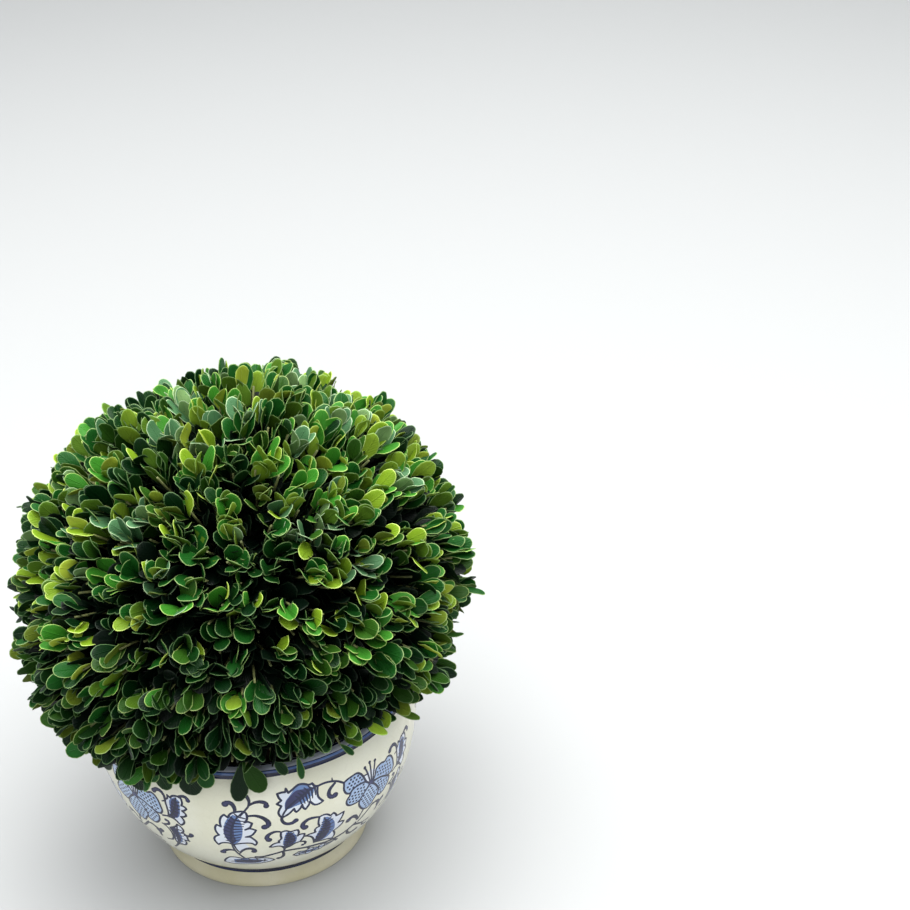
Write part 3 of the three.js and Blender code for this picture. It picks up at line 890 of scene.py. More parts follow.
def chip_group():
    """A node group for rough mottled matter, such as bark or peat, with grains of two tones."""
    inputs = {"Dark": "Color", "Light": "Color", "Grain Scale": "Float"}
    group, given = node_group("mottled_grain", inputs, {"Color": "Color", "Height": "Float"})
    place = wired(group, "ShaderNodeTexCoord", {}).outputs["Object"]
    scale = given["Grain Scale"]
    grains = noise_over(group, place, Scale=scale, Detail=6.0, Roughness=0.65)
    tone = mixed(group, stretched(group, grains, *GRAIN_SPAN), given["Dark"], given["Light"])
    wired(group, "NodeGroupOutput", {"Color": tone, "Height": grains})
    return group


chip_nodes = chip_group()
CHIP_STRENGTH = 0.8


def chip_material(name, dark, light, scale, roughness, depth):
    """A rough mottled material of two tones."""
    values = {"Dark": dark, "Light": light, "Grain Scale": scale}
    material, _ = surfaced(name, dark, roughness, chip_nodes, values, CHIP_STRENGTH, depth)
    return material


peat = chip_material(
    "peat", linear(30, 23, 17), linear(84, 66, 48), scale=420.0, roughness=0.95, depth=0.001
)
potting_mix = finished_mesh("potting_mix", mix, [peat], smooth=False)
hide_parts("pot_fill")
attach(potting_mix, "root")


# Stem
# The short woody foot of the plant, which flares where it leaves the mix. Its grey bark is
# ridged lengthwise. The ball hides it.
STEM_BASE = 85.0
STEM_FLARE_RADIUS = 10.6
STEM_RADIUS = 7.0
STEM_TOP = 97.0
STEM_TOP_RADIUS = 6.4
STEM_SIDES = 40
STEM_ROWS = 14
STEM_FOOT_HEIGHT = 1.5
STEM_NARROWING = 0.6
FLARE_FALL = 6.0
# The bark's ridges: none this close to the axis, their depth as a share of the radius, and
# how fine they are round the stem and along it
RIDGE_CORE = 4.0
RIDGE_DEPTH = 0.1
RIDGE_FINENESS = 3.2
RIDGE_RUN = 60

stem_bm = bmesh.new()
stem_line = [(0.0, STEM_BASE, 0), (STEM_FLARE_RADIUS, STEM_BASE, 0)]
for height in np.linspace(STEM_BASE + STEM_FOOT_HEIGHT, STEM_TOP, STEM_ROWS):
    share = (height - STEM_BASE) / (STEM_TOP - STEM_BASE)
    flare = (STEM_FLARE_RADIUS - STEM_RADIUS) * math.exp(-FLARE_FALL * share)
    stem_line.append((STEM_RADIUS + flare - STEM_NARROWING * share, height, 0))
stem_line += [(3.0, STEM_TOP + 0.3, 0), (0.0, STEM_TOP + 0.4, 0)]
turn_on_wheel(stem_bm, stem_line, STEM_SIDES, 0.0)
bmesh.ops.remove_doubles(stem_bm, verts=stem_bm.verts, dist=MERGE_DISTANCE)
for vert in stem_bm.verts:
    flat = vert.co.xy
    if flat.length > RIDGE_CORE * MM:
        around = flat.normalized() * RIDGE_FINENESS
        ridge = noise.noise(Vector((*around, vert.co.z * RIDGE_RUN)))
        vert.co.xy = flat * (1 + RIDGE_DEPTH * ridge)
bark = chip_material(
    "grey_bark", linear(74, 64, 48), linear(132, 120, 96), scale=260.0, roughness=0.85, depth=0.0008
)
stem_piece = finished_mesh("stem_bark", stem_bm, [bark])
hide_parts("stem")
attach(stem_piece, "root")


# Boughs and twigs
# Inside the ball the stem parts into boughs, each bough into twigs, and each twig into shoots
# that run out to the clipped surface. The 108 twigs follow the seeded rule of the part's
# solids. The shoots carry the same rule on to a finer spacing, each from its nearest twig.
BALL_CENTRE = np.array([0.0, 0.0, 163.6])
BALL_HALF_SIZE = np.array([120.0, 120.0, 113.0])
UPWARD = np.array([0.0, 0.0, 1.0])
SIDEWAYS = np.array([1.0, 0.0, 0.0])
GOLDEN_ANGLE = math.pi * (3 - math.sqrt(5))
SEED = 2611
TWIG_COUNT = 108
SHOOT_COUNT = 860
LOWEST_RISE = -0.56
AXIS_DROP = 0.5
TIP_SCATTER = 0.12
SHOOT_SCATTER = 0.06
SHOOT_LOWEST_RISE = -0.66
STEEP_LIMB = 0.8
STEEP_SHOOT = 0.9
TRUNK_START_DROP = 3.0
TRUNK_MIDDLE = np.array([-4.0, 3.0, 130.0])
TRUNK_HEAD = np.array([2.0, -1.5, 176.0])
TRUNK_POINTS = 14
TRUNK_RADII = (STEM_TOP_RADIUS, 3.4)
BOUGH_COUNT = 12
BOUGH_RISES = 1.5
BOUGH_REACH = np.array([44.0, 44.0, 40.0])
BOUGH_ARCH = 6.0
BOUGH_RADII = (3.6, 2.4)
# From how much a bough rises to the number of the trunk's point where it forks
BOUGH_FORKS = ((-0.6, 1.0), (3, TRUNK_POINTS - 1))
FORK_BACK = 46.0
TWIG_ARCH = 6.0
TWIG_RADII = (2.2, 1.5)
SHOOT_END_BACK = 9.0
SHOOT_ARCH_BACK = 38.0
SHOOT_RADII = (1.1, 0.6)
SPRIG_RADII = (1.1, 0.55)


def seeded_random(seed):
    """The even random numbers of the part's source, the same each time."""
    state = seed
    while True:
        state = (state * 1664525 + 1013904223) % 2**32
        yield state / 2**32


def surface_axis(index, count, scatter_width, draws, lowest_rise=LOWEST_RISE):
    """Where a twig leaves the plant's axis, its direction, and its reach to the surface."""
    scatter = [scatter_width * (next(draws) - 0.5) for _ in range(3)]
    rise = 1 - (index + 0.5) / count * (1 - lowest_rise)
    flat = math.sqrt(1 - rise * rise)
    angle = index * GOLDEN_ANGLE
    x, y = flat * math.cos(angle) + scatter[0], flat * math.sin(angle) + scatter[1]
    out = np.array([x, y, max(rise + scatter[2], lowest_rise)])
    tip = out / np.linalg.norm(out) * BALL_HALF_SIZE
    origin = np.array([0.0, 0.0, min(0.0, tip[2]) * AXIS_DROP])
    reach = float(np.linalg.norm(tip - origin))
    return origin + BALL_CENTRE, (tip - origin) / reach, reach


def along_curve(start, middle, end, count):
    """Points along a smooth bend from start to end that leans towards the middle point."""
    t = np.linspace(0, 1, count)[:, None]
    return (1 - t) ** 2 * start + 2 * t * (1 - t) * middle + t**2 * end


def nearest(places, to):
    """The one of these places that is nearest to another."""
    return places[np.argmin(np.linalg.norm(places - to, axis=1))]


def guide_for(direction, steepest):
    """The upward direction, or a sideways one where this direction is steeper than that."""
    return UPWARD if abs(direction[2]) < steepest else SIDEWAYS


def limb(points, first_radius, last_radius, sides):
    """A round tapering limb along the points. Returns its corners and its faces."""
    count = len(points)
    ahead = headings(points)
    side = np.cross(ahead, guide_for(ahead[0], STEEP_LIMB))
    side /= np.linalg.norm(side, axis=1)[:, None]
    over = np.cross(ahead, side)
    radii = np.linspace(first_radius, last_radius, count)
    turn = 2 * math.pi * np.arange(sides)[:, None] / sides
    ring = side[:, None] * np.cos(turn) + over[:, None] * np.sin(turn)
    corners = (points[:, None] + ring * radii[:, None, None]).reshape(-1, 3)
    faces = []
    for i in range(count - 1):
        for k in range(sides):
            a, b = i * sides + k, i * sides + (k + 1) % sides
            faces.append((a, b, b + sides, a + sides))
    faces.append(tuple(range(sides))[::-1])
    faces.append(tuple((count - 1) * sides + k for k in range(sides)))
    return corners, faces


def joined_limbs(name, limbs, material):
    """Many limbs as one mesh, each closed in itself."""
    corners, faces, start = [], [], 0
    for limb_corners, limb_faces in limbs:
        corners.append(limb_corners)
        faces += [tuple(start + i for i in face) for face in limb_faces]
        start += len(limb_corners)
    mesh = bpy.data.meshes.new(name)
    mesh.from_pydata((np.concatenate(corners) * MM).tolist(), [], faces)
    bm = bmesh.new()
    bm.from_mesh(mesh)
    bmesh.ops.recalc_face_normals(bm, faces=bm.faces)
    for face in bm.faces:
        face.smooth = len(face.verts) == 4
    bm.to_mesh(mesh)
    bm.free()
    return placed(name, mesh, [material])


twig_draws = seeded_random(SEED)
twigs = []
for index in range(TWIG_COUNT):
    twigs.append(surface_axis(index, TWIG_COUNT, TIP_SCATTER, twig_draws))
    # The part's source goes on to draw five numbers for the twig's leaves.
    for _ in range(5):
        next(twig_draws)

twig_forks = np.array([origin + out * (reach - FORK_BACK) for origin, out, reach in twigs])
trunk_foot = UPWARD * (STEM_TOP - TRUNK_START_DROP)
trunk = along_curve(trunk_foot, TRUNK_MIDDLE, TRUNK_HEAD, TRUNK_POINTS)
bough_limbs = [limb(trunk, *TRUNK_RADII, 12)]
bough_heads = []
for index in range(BOUGH_COUNT):
    rise = 1 - (index + 0.5) / BOUGH_COUNT * BOUGH_RISES
    flat = math.sqrt(max(0.0, 1 - rise * rise))
    angle = index * GOLDEN_ANGLE
    out = np.array([flat * math.cos(angle), flat * math.sin(angle), rise])
    head = BALL_CENTRE + out * BOUGH_REACH
    foot = trunk[int(np.interp(rise, *BOUGH_FORKS))]
    middle = (foot + head) / 2 + UPWARD * BOUGH_ARCH
    bough_limbs.append(limb(along_curve(foot, middle, head, 8), *BOUGH_RADII, 10))
    bough_heads.append(head)
for (_, out, _), fork in zip(twigs, twig_forks):
    head = nearest(np.array(bough_heads), fork)
    middle = (head + fork) / 2 + out * TWIG_ARCH
    bough_limbs.append(limb(along_curve(head, middle, fork, 6), *TWIG_RADII, 7))
boughs = joined_limbs("boughs", bough_limbs, bark)
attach(boughs, "root")

# The ball's lower edge is uneven: it hangs lowest at the left and is clipped up to the lip in
# front and at the right. Azimuth in degrees, and how low foliage hangs at the lip's radius.
LOWER_EDGE = (
    (-180, 93.0),
    (-160, 90.0),
    (-128, 91.0),
    (-114, 92.0),
    (-105, 97.0),
    (-98, 106.0),
    (-90, 110.0),
    (-75, 110.5),
    (-20, 109.0),
    (30, 104.0),
    (80, 98.0),
    (130, 95.0),
    (180, 93.0),
)
EDGE_SLOPE = 0.56


def lower_edge(x, y):
    """The lowest height that foliage hangs to over a point of the ground, in millimetres."""
    turns, lows = zip(*LOWER_EDGE)
    low = np.interp(np.degrees(np.arctan2(y, x)), turns, lows)
    return low + EDGE_SLOPE * np.maximum(np.hypot(x, y) - RIM_RADIUS, 0)


# The clipped surface is no even ball. It is flatter at the upper left and fuller at the crown,
# at the left and at the low left shoulder. Direction, millimetres, and how narrow it is.
SWELLS = (
    ((-0.64, 0.2, 0.74), -4.0, 3),
    ((0.0, 0.0, 1.0), 3.4, 3),
    ((-1.0, 0.0, 0.0), 1.6, 1),
    ((-0.765, -0.597, -0.242), 8.0, 13),
)
# It is also bumpy, and its shoots end at uneven heights, most of them a little under it.
BUMP_HEIGHT = 7.0
BUMP_FINENESS = 3.1
BUMP_PLACE = Vector((0.0, 7.0, 0.0))
SHOOT_RANGE = 11.0
SHOOT_SHARE_UNDER = 0.68

# Leaves that hang free over the lip, or stray out of the clipped surface. They are listed one
# by one. Each has its root and its tip, as azimuth in degrees, radius and height, then its
# width, its tint, and if it turns its upper face outwards. A sprig grows to each root.
HANGING_LEAVES = (
    ((-127, 92, 109), (-124, 98, 89), 12.5, "deep", True),
    ((-127, 92, 109), (-117, 97, 100), 10.5, "mid", True),
    ((-120, 92, 110), (-113, 97, 96), 10.0, "dark", True),
    ((-106, 91, 113), (-106, 95, 93), 12.0, "deep", True),
    ((-102, 90, 114), (-100, 96, 101), 9.5, "mid", True),
    ((-89, 88, 114), (-91, 95, 91), 9.0, "deep", True),
    ((-89, 88, 114), (-83, 95, 97), 10.5, "dark", False),
    ((-71, 90, 114), (-70, 93, 99), 3.5, "mid", True),
    ((-79, 88, 114), (-75, 92, 104), 5.0, "dark", True),
    ((-135, 95, 110), (-139, 100, 92), 10.5, "deep", True),
    ((-143, 96, 112), (-148, 105, 96), 10.0, "mid", False),
    ((-56, 90, 112), (-52, 94, 104), 3.0, "mid", True),
    ((-129, 113, 129), (-133, 126, 124), 8.5, "mid", True),
    ((-137, 109, 136), (-142, 127, 134), 9.5, "olive", True),
    ((-34, 93, 115), (-31, 107, 112), 3.5, "mid", False),
    ((168, 107, 200), (169, 123, 201), 6.0, "grey", True),
    ((-2, 114, 158), (-2, 128, 156), 6.5, "mid", True),
)
SPRIG_ROOTS = tuple(dict.fromkeys(root_at for root_at, *_ in HANGING_LEAVES))
SPRIG_TIP = 0.6
SPRIG_ARCH = 14.0
SPRIG_ARCH_SHARE = np.array([0.8, 0.8, 1.0])


def round_the_axis(azimuth, radius, height):
    """A place from its azimuth in degrees, its radius and its height."""
    angle = math.radians(azimuth)
    return np.array([radius * math.cos(angle), radius * math.sin(angle), height])


shoot_draws = seeded_random(SEED + 1)
shoots = []
shoot_limbs = []
for index in range(SHOOT_COUNT):
    origin, direction, reach = surface_axis(
        index, SHOOT_COUNT, SHOOT_SCATTER, shoot_draws, SHOOT_LOWEST_RISE
    )
    turn = next(shoot_draws) * math.pi
    reach += SHOOT_RANGE * (next(shoot_draws) - SHOOT_SHARE_UNDER)
    reach += BUMP_HEIGHT * noise.noise(Vector(direction.tolist()) * BUMP_FINENESS + BUMP_PLACE)
    for towards, swell, narrowness in SWELLS:
        reach += swell * max(0.0, float(direction @ towards)) ** narrowness
    base = origin + direction * (reach - SHOOT_ARCH_BACK)
    end = origin + direction * (reach - SHOOT_END_BACK)
    if end[2] > lower_edge(end[0], end[1]):
        line = along_curve(nearest(twig_forks, base), base, end, 6)
        shoot_limbs.append(limb(line, *SHOOT_RADII, 5))
        shoots.append((origin, direction, reach, turn))
for azimuth, radius, height in SPRIG_ROOTS:
    end = round_the_axis(azimuth, radius + SPRIG_TIP, height)
    base = end * SPRIG_ARCH_SHARE + UPWARD * SPRIG_ARCH
    line = along_curve(nearest(twig_forks, base), base, end, 7)
    shoot_limbs.append(limb(line, *SPRIG_RADII, 5))
green_wood = chip_material(
    "young_wood", linear(70, 78, 40), linear(112, 116, 66), scale=300.0, roughness=0.7, depth=0.0003
)
shoot_piece = joined_limbs("shoots", shoot_limbs, green_wood)
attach(shoot_piece, "root")


# Leaves
# Box leaves sit in crossed pairs along each shoot: small, thick, leathery and spoon-shaped,
# widest past the middle, with a pale hard margin, and paler and duller underneath. The
# newest pairs at the tips are small and closed, and older ones further back stand open.
LEAF_LENGTH = 18.8
LEAF_WIDTH = 8.9
LEAF_THICKNESS = 0.36
LEAF_MARGIN = 0.34
# A leaf's rows, from root to tip: how far along it, and its width there, both as shares.
# The outermost leaves have the finer pattern, the others the plain one.
LEAF_ROWS = (
    (0.20, 0.37),
    (0.40, 0.75),
    (0.58, 0.98),
    (0.75, 0.95),
    (0.89, 0.70),
    (0.966, 0.37),
)
LEAF_COLUMNS = (-1.0, -0.5, 0.0, 0.5, 1.0)
PLAIN_ROWS = ((0.35, 0.66), (0.60, 0.99), (0.83, 0.84), (0.966, 0.38))
PLAIN_COLUMNS = (-1.0, 0.0, 1.0)
TIP_NOTCH = 0.004
TIP_ROUND = 0.024
TIP_START = 0.9
UPPER, UNDER, MARGIN = range(3)
# Pairs of leaves from the tip back: millimetres behind it, length as a share, spread from the
# shoot in radians and how far the spread varies
LEAF_PAIRS = (
    (13.4, 0.84, 0.16, 0.18),
    (18.6, 0.98, 0.24, 0.20),
    (24.4, 1.04, 0.30, 0.22),
    (31.0, 1.04, 0.38, 0.26),
    (38.6, 1.02, 0.50, 0.30),
    (47.5, 1.10, 0.85, 0.35),
)
FINE_RANKS = 2
SHADE_TINT_RANK = 3


def leaf_pattern(leaf_rows, leaf_columns):
    """One leaf laid flat, as rows of (across, along, height, on the margin) with its faces.
    Across runs from -1 to 1 of the half width, along from 0 to 1."""
    across, along, height, margin = [0.0], [0.0], [0.0], [0.0]
    last_row, columns = len(leaf_rows) - 1, len(leaf_columns)
    sheets = {}
    for layer, lift in (("upper", 0.5), ("lower", -0.5)):
        for row, (distance, width) in enumerate(leaf_rows):
            for column, t in enumerate(leaf_columns):
                sheets[layer, row, column] = len(across)
                notch = TIP_NOTCH if t == 0 else 0.0
                bulge = TIP_ROUND * (1 - t * t) - notch if row == last_row else 0.0
                across.append(t * width)
                along.append(distance + bulge)
                height.append(lift)
                margin.append(0.0)
    rim = [(row, 0) for row in range(last_row + 1)]
    rim += [(last_row, column) for column in range(1, columns - 1)]
    rim += [(row, columns - 1) for row in reversed(range(last_row + 1))]
    rim_at = []
    for row, column in rim:
        inner = sheets["upper", row, column]
        rim_at.append(len(across))
        across.append(across[inner])
        along.append(along[inner])
        height.append(0.0)
        margin.append(1.0)
    faces, slots = [], []

    def add(face, slot):
        faces.append(face)
        slots.append(slot)

    for layer, slot in (("upper", UPPER), ("lower", UNDER)):
        for column in range(columns - 1):
            a, b = sheets[layer, 0, column], sheets[layer, 0, column + 1]
            add((0, b, a) if layer == "upper" else (0, a, b), slot)
            for row in range(last_row):
                a, b = sheets[layer, row, column], sheets[layer, row, column + 1]
                c, d = sheets[layer, row + 1, column + 1], sheets[layer, row + 1, column]
                add((a, b, c, d) if layer == "upper" else (d, c, b, a), slot)
    for layer, flip in (("upper", False), ("lower", True)):
        inner = [sheets[layer, row, column] for row, column in rim]
        for (i0, i1), (e0, e1) in zip(zip(inner, inner[1:]), zip(rim_at, rim_at[1:])):
            face = (i0, i1, e1, e0)
            add(face[::-1] if flip else face, MARGIN)
        first, last = (0, inner[0], rim_at[0]), (0, rim_at[-1], inner[-1])
        add(first[::-1] if flip else first, MARGIN)
        add(last[::-1] if flip else last, MARGIN)
    return tuple(map(np.array, (across, along, height, margin))), faces, slots


fine_leaf = leaf_pattern(LEAF_ROWS, LEAF_COLUMNS)
plain_leaf = leaf_pattern(PLAIN_ROWS, PLAIN_COLUMNS)
leaf_random = np.random.default_rng(SEED)


# How the hard margin runs round the tip, and how a blade bulges, ripples and draws in
TIP_SIDES = 0.4
TIP_CORNERS = 0.74
TIP_CORNER_LOSS = 0.45
BULGE_SHARE = 0.6
CREASE_EASE = 0.4
RIPPLES = 1.4
RIPPLE_LAG = 1.2
CUP_DRAW = 0.22


def shaped_leaves(pattern, roots, ahead, face_out, forms):
    """Corners of many leaves at once, from each one's root, direction, upward face and form."""
    across, along, height, margin = pattern[0]
    length, width, cup, arch, crease, wave, phase, twist = (form[:, None] for form in forms.T)
    half = width / 2
    tip_row = along > TIP_START
    sideways = np.where(tip_row, np.minimum(1.0, np.abs(across) / TIP_SIDES), 1.0)
    corner = np.minimum(1.0, np.abs(across) / TIP_CORNERS)
    forwards = np.where(tip_row, 1 - TIP_CORNER_LOSS * corner, 0.0)
    x = across * half + margin * np.sign(across) * sideways * LEAF_MARGIN
    y = along * length + margin * forwards * LEAF_MARGIN
    share = y / length
    edge = np.abs(x) / half
    body = np.sin(np.pi * np.clip(share, 0, 1) ** 0.8) * BULGE_SHARE + (1 - BULGE_SHARE) * share
    ripple = np.sin(2 * np.pi * RIPPLES * share + phase + np.sign(x) * RIPPLE_LAG)
    z = height * LEAF_THICKNESS * np.clip(share * 5, 0, 1)
    z = z + cup * half * edge**2 * body
    z = z + crease * half * edge * (1 - edge * CREASE_EASE) * body
    z = z + wave * half * edge**2 * ripple
    z = z - 0.5 * arch * length * share**2
    y = y * (1 - arch**2 * share**2 / 6)
    x = x * (1 - CUP_DRAW * cup**2 * edge**2)
    lean = twist * share
    x, z = x * np.cos(lean) - z * np.sin(lean), x * np.sin(lean) + z * np.cos(lean)
    side = np.cross(ahead, face_out)
    offsets = ((side, x), (ahead, y), (face_out, z))
    return roots[:, None] + sum(way[:, None] * far[..., None] for way, far in offsets)


def square_on(direction):
    """Two directions across this one and across each other."""
    first = np.cross(direction, guide_for(direction, STEEP_SHOOT))
    first /= np.linalg.norm(first)
    return first, np.cross(direction, first)


def between(low, high):
    """A random value from low to high."""
    return low + (high - low) * leaf_random.random()


def turned_to(face_dir, ahead_dir):
    """A leaf's face, set square on its length."""
    face_dir = face_dir - ahead_dir * (face_dir @ ahead_dir)
    return face_dir / np.linalg.norm(face_dir)


SHOOT_BEND = 30.0
SHOOT_WOBBLE = 0.16
# Shoots rise towards the light on the sides and hang at the lower edge. Height on the ball
# from -1 to 1, and the lift of the shoot.
SHOOT_RISE = ((-0.6, -0.3), (-0.2, -0.12), (0.1, 0.1), (0.5, 0.18), (1.0, 0.0))
SPRAY_SIZES = (0.88, 1.14)
# How leaves vary: the place of a pair, and each leaf's angle round the shoot, size, width,
# roll, cup, arch, crease, wave and twist. A few leaves are cupped deeply.
PLACE_SPREAD = 0.8
ANGLE_SPREAD = 0.36
LEAF_SIZES = (0.9, 1.1)
LEAF_WIDTHS = (0.88, 1.12)
ROLL_SPREAD = 0.4
CUPS = (-0.34, 0.08)
DEEP_CUP = 0.4
ARCHES = (0.10, 0.26)
CREASES = (-0.04, 0.12)
WAVES = (0.05, 0.23)
TWIST_SPREAD = 0.28
NODE_RADIUS = 0.4
# Leaves turn their faces upwards from this height on the ball, fully so a little higher.
LEVEL_START = -0.2
LEVEL_SPAN = 0.4
LEVELLING = 1.3
SPRAY_TINTS = ("deep", "dark", "mid", "fresh", "olive", "grey")
# Shares of these tints where the ball is in shade, and where the light falls on it
SHADE_SHARES = np.array([0.38, 0.28, 0.15, 0.03, 0.13, 0.03])
LIGHT_SHARES = np.array([0.03, 0.13, 0.32, 0.28, 0.09, 0.15])
LIGHT_FALL = np.array([0.46, 0.08, 0.6])
LIGHT_LEVEL = 0.45
# The share of leaves that take any of the tints, not their spray's
ODD_SHARE = 0.2
# Limes are commonest on the flanks and at the back. Azimuth in degrees, and their share there
LIME_SHARES = ((-180, 0.17), (-130, 0.12), (-90, 0.05), (-50, 0.09), (0, 0.16), (180, 0.17))
LIME_TOP_SHARE = 0.07
LIME_AT_TIPS = 1.3
LIME_BEHIND = 0.8
# Heights on the ball: below the first, deep green takes most leaves as painted shade on the
# low side; greys, whose pale tone is partly painted sheen, keep above the second; and below
# the last the third pair of a spray lies in shade and takes the near-black inner tint, painted
# shade.
SHADE_DEEP_BELOW = 0.05
SHEEN_GREY_ABOVE = 0.4
SHADED_BELOW = 0.6
SHADE_DEEP_SHARE = 0.66

roots, aheads, face_outs, forms, tints, ranks = [], [], [], [], [], []
for origin, direction, reach, turn in shoots:
    lit = min(1.0, max(0.0, LIGHT_LEVEL + direction @ LIGHT_FALL))
    shares = SHADE_SHARES * (1 - lit) + LIGHT_SHARES * lit
    spray_tint = SPRAY_TINTS[leaf_random.choice(len(SPRAY_TINTS), p=shares / shares.sum())]
    flank = np.interp(math.degrees(math.atan2(direction[1], direction[0])), *zip(*LIME_SHARES))
    lime_share = LIME_TOP_SHARE + (flank - LIME_TOP_SHARE) * (1 - max(0.0, direction[2]) ** 2)
    levelled = LEVELLING * min(1.0, max(0.0, (direction[2] - LEVEL_START) / LEVEL_SPAN))
    spray_size = between(*SPRAY_SIZES)
    first, second = square_on(direction)
    wobble = leaf_random.normal(0, SHOOT_WOBBLE, 2)
    rising = float(np.interp(direction[2], *zip(*SHOOT_RISE)))
    axis = direction + first * wobble[0] + second * wobble[1] + UPWARD * rising
    axis /= np.linalg.norm(axis)
    first, second = square_on(axis)
    for rank, (back, length, spread, spread_range) in enumerate(LEAF_PAIRS):
        back += leaf_random.normal(0, PLACE_SPREAD)
        for half in (0, 1):
            angle = turn + (rank / 2 + half) * math.pi + leaf_random.normal(0, ANGLE_SPREAD)
            radial = first * math.cos(angle) + second * math.sin(angle)
            lean = spread + between(-spread_range, spread_range)
            ahead_dir = axis * math.cos(lean) + radial * math.sin(lean)
            face_dir = axis * math.sin(lean) - radial * math.cos(lean) + UPWARD * levelled
            face_dir = turned_to(face_dir, ahead_dir)
            side = np.cross(ahead_dir, face_dir)
            roll = leaf_random.normal(0, ROLL_SPREAD)
            end = origin + direction * (reach - SHOOT_BEND) + axis * (SHOOT_BEND - back)
            size = spray_size * between(*LEAF_SIZES) * length
            roots.append(end + radial * NODE_RADIUS)
            aheads.append(ahead_dir)
            face_outs.append(face_dir * math.cos(roll) + side * math.sin(roll))
            forms.append(
                (
                    LEAF_LENGTH * size,
                    LEAF_WIDTH * size * between(*LEAF_WIDTHS),
                    between(*CUPS) + DEEP_CUP * leaf_random.random() ** 8,
                    leaf_random.normal(*ARCHES),
                    between(*CREASES),
                    between(*WAVES),
                    between(0, 2 * math.pi),
                    leaf_random.normal(0, TWIST_SPREAD),
                )
            )
            lime = leaf_random.random() < lime_share * (LIME_AT_TIPS if rank < 2 else LIME_BEHIND)
            odd = leaf_random.random() < ODD_SHARE
            tint = SPRAY_TINTS[leaf_random.integers(len(SPRAY_TINTS))] if odd else spray_tint
            # Painted shade: below the middle of the ball a lime leaf is made olive instead.
            if lime:
                tint = "lime" if direction[2] > 0 else "olive"
            # Painted shade: low on the ball, most leaves behind the tip pair are made deep green.
            if direction[2] < SHADE_DEEP_BELOW and rank and leaf_random.random() < SHADE_DEEP_SHARE:
                tint = "deep"
            # Grey leaves stand partly for painted sheen of the light from above, so low on the ball
            # they are made dark.
            if direction[2] < SHEEN_GREY_ABOVE and tint == "grey":
                tint = "dark"
            # Painted shade: pairs deep in a spray take the near-black inner tint.
            shaded_from = SHADE_TINT_RANK - 1 if direction[2] < SHADED_BELOW else SHADE_TINT_RANK
            tints.append("inner" if rank >= shaded_from else tint)
            ranks.append(rank)

# The listed leaves join the others.
HANGING_RANK = -1
HANGING_FACE_RISE = 20.0
HANGING_ARCH = 0.22
HANGING_CUP = 0.06
HANGING_CREASE = 0.04
HANGING_WAVE = 0.1
HANGING_TWIST = 0.1
for root_at, tip_at, width, tint, upper_out in HANGING_LEAVES:
    outwards = 1 if upper_out else -1
    root, tip = round_the_axis(*root_at), round_the_axis(*tip_at)
    length = float(np.linalg.norm(tip - root))
    ahead_dir = (tip - root) / length
    face_dir = np.array([root[0], root[1], HANGING_FACE_RISE]) * outwards
    roots.append(root)
    aheads.append(ahead_dir)
    face_outs.append(turned_to(face_dir, ahead_dir))
    curve = (HANGING_CUP, HANGING_ARCH * outwards, HANGING_CREASE, HANGING_WAVE)
    forms.append((length, width, *curve, width, HANGING_TWIST))
    tints.append(tint)
    ranks.append(HANGING_RANK)

roots, aheads, face_outs, forms = map(np.array, (roots, aheads, face_outs, forms))
tints, ranks = np.array(tints), np.array(ranks)

# A leaf that would cut into the planter or the mix, or hang under the lower edge, is left out.
CLEARANCE = 0.8
EDGE_SLACK = 1.0
WALL_SAMPLES = 200
heights = np.linspace(0, RIM_HEIGHT + LIP_HEIGHT, WALL_SAMPLES)
outer_at = [outer_radius(min(max(h, FOOT_HEIGHT), RIM_HEIGHT)) for h in heights]
inner_at = [inner_radius(min(max(h, FLOOR_HEIGHT), RIM_HEIGHT)) for h in heights]


def stands_clear(corners, hanging):
    """Tells for each leaf if it is clear of the planter, the mix and the lower edge. Leaves listed
    one by one hang under that edge."""
    flat = np.hypot(corners[..., 0], corners[..., 1])
    rise = corners[..., 2]
    in_clay = (
        (rise < RIM_HEIGHT + LIP_HEIGHT + CLEARANCE)
        & (flat < np.interp(rise, heights, outer_at) + CLEARANCE)
        & (flat > np.interp(rise, heights, inner_at) - CLEARANCE)
    )
    in_mix = (rise < MIX_TOP + MIX_CROWN + CLEARANCE) & (flat < RIM_RADIUS)
    edge = lower_edge(corners[..., 0], corners[..., 1])
    too_low = (rise < edge - EDGE_SLACK) & ~hanging[:, None]
    return ~(in_clay | in_mix | too_low).any(axis=1)


LEAF_VEINS = 9.0
LEAF_GRAIN_SCALE = 900.0
MIDRIB_NARROWNESS = 22.0
VEIN_SWEEP = 0.8
VEIN_SHARE = 0.3
GRAIN_SHARE = 0.5


def leaf_relief_group():
    """A node group for a leaf's relief, read from its own map: a midrib, fine side veins that
    run forward from it, and a leathery grain. It puts out a height."""
    inputs = {"Veins": "Float", "Grain Scale": "Float"}
    group, given = node_group("leaf_relief", inputs, {"Height": "Float"})
    sums = lambda operation, *values: maths(group, operation, *values)
    place = wired(group, "ShaderNodeTexCoord", {}).outputs
    parts = wired(group, "ShaderNodeSeparateXYZ", {"Vector": place["UV"]}).outputs
    aside = sums("ABSOLUTE", sums("SUBTRACT", parts["X"], 0.5))
    beside_rib = sums("MINIMUM", sums("MULTIPLY", aside, MIDRIB_NARROWNESS), 1.0)
    forward = sums("MULTIPLY_ADD", aside, -VEIN_SWEEP, parts["Y"])
    turns = sums("MULTIPLY", sums("MULTIPLY", forward, given["Veins"]), 2 * math.pi)
    veins = sums("POWER", sums("MULTIPLY_ADD", sums("SINE", turns), 0.5, 0.5), 3.0)
    ribs = sums("MULTIPLY_ADD", veins, VEIN_SHARE, sums("SUBTRACT", 1.0, beside_rib))
    grain = noise_over(group, place["Object"], Scale=given["Grain Scale"], Detail=2.0)
    height = sums("MULTIPLY_ADD", grain, GRAIN_SHARE, ribs)
    wired(group, "NodeGroupOutput", {"Height": height})
    return group


leaf_relief = leaf_relief_group()
RELIEF_STRENGTH = 0.5


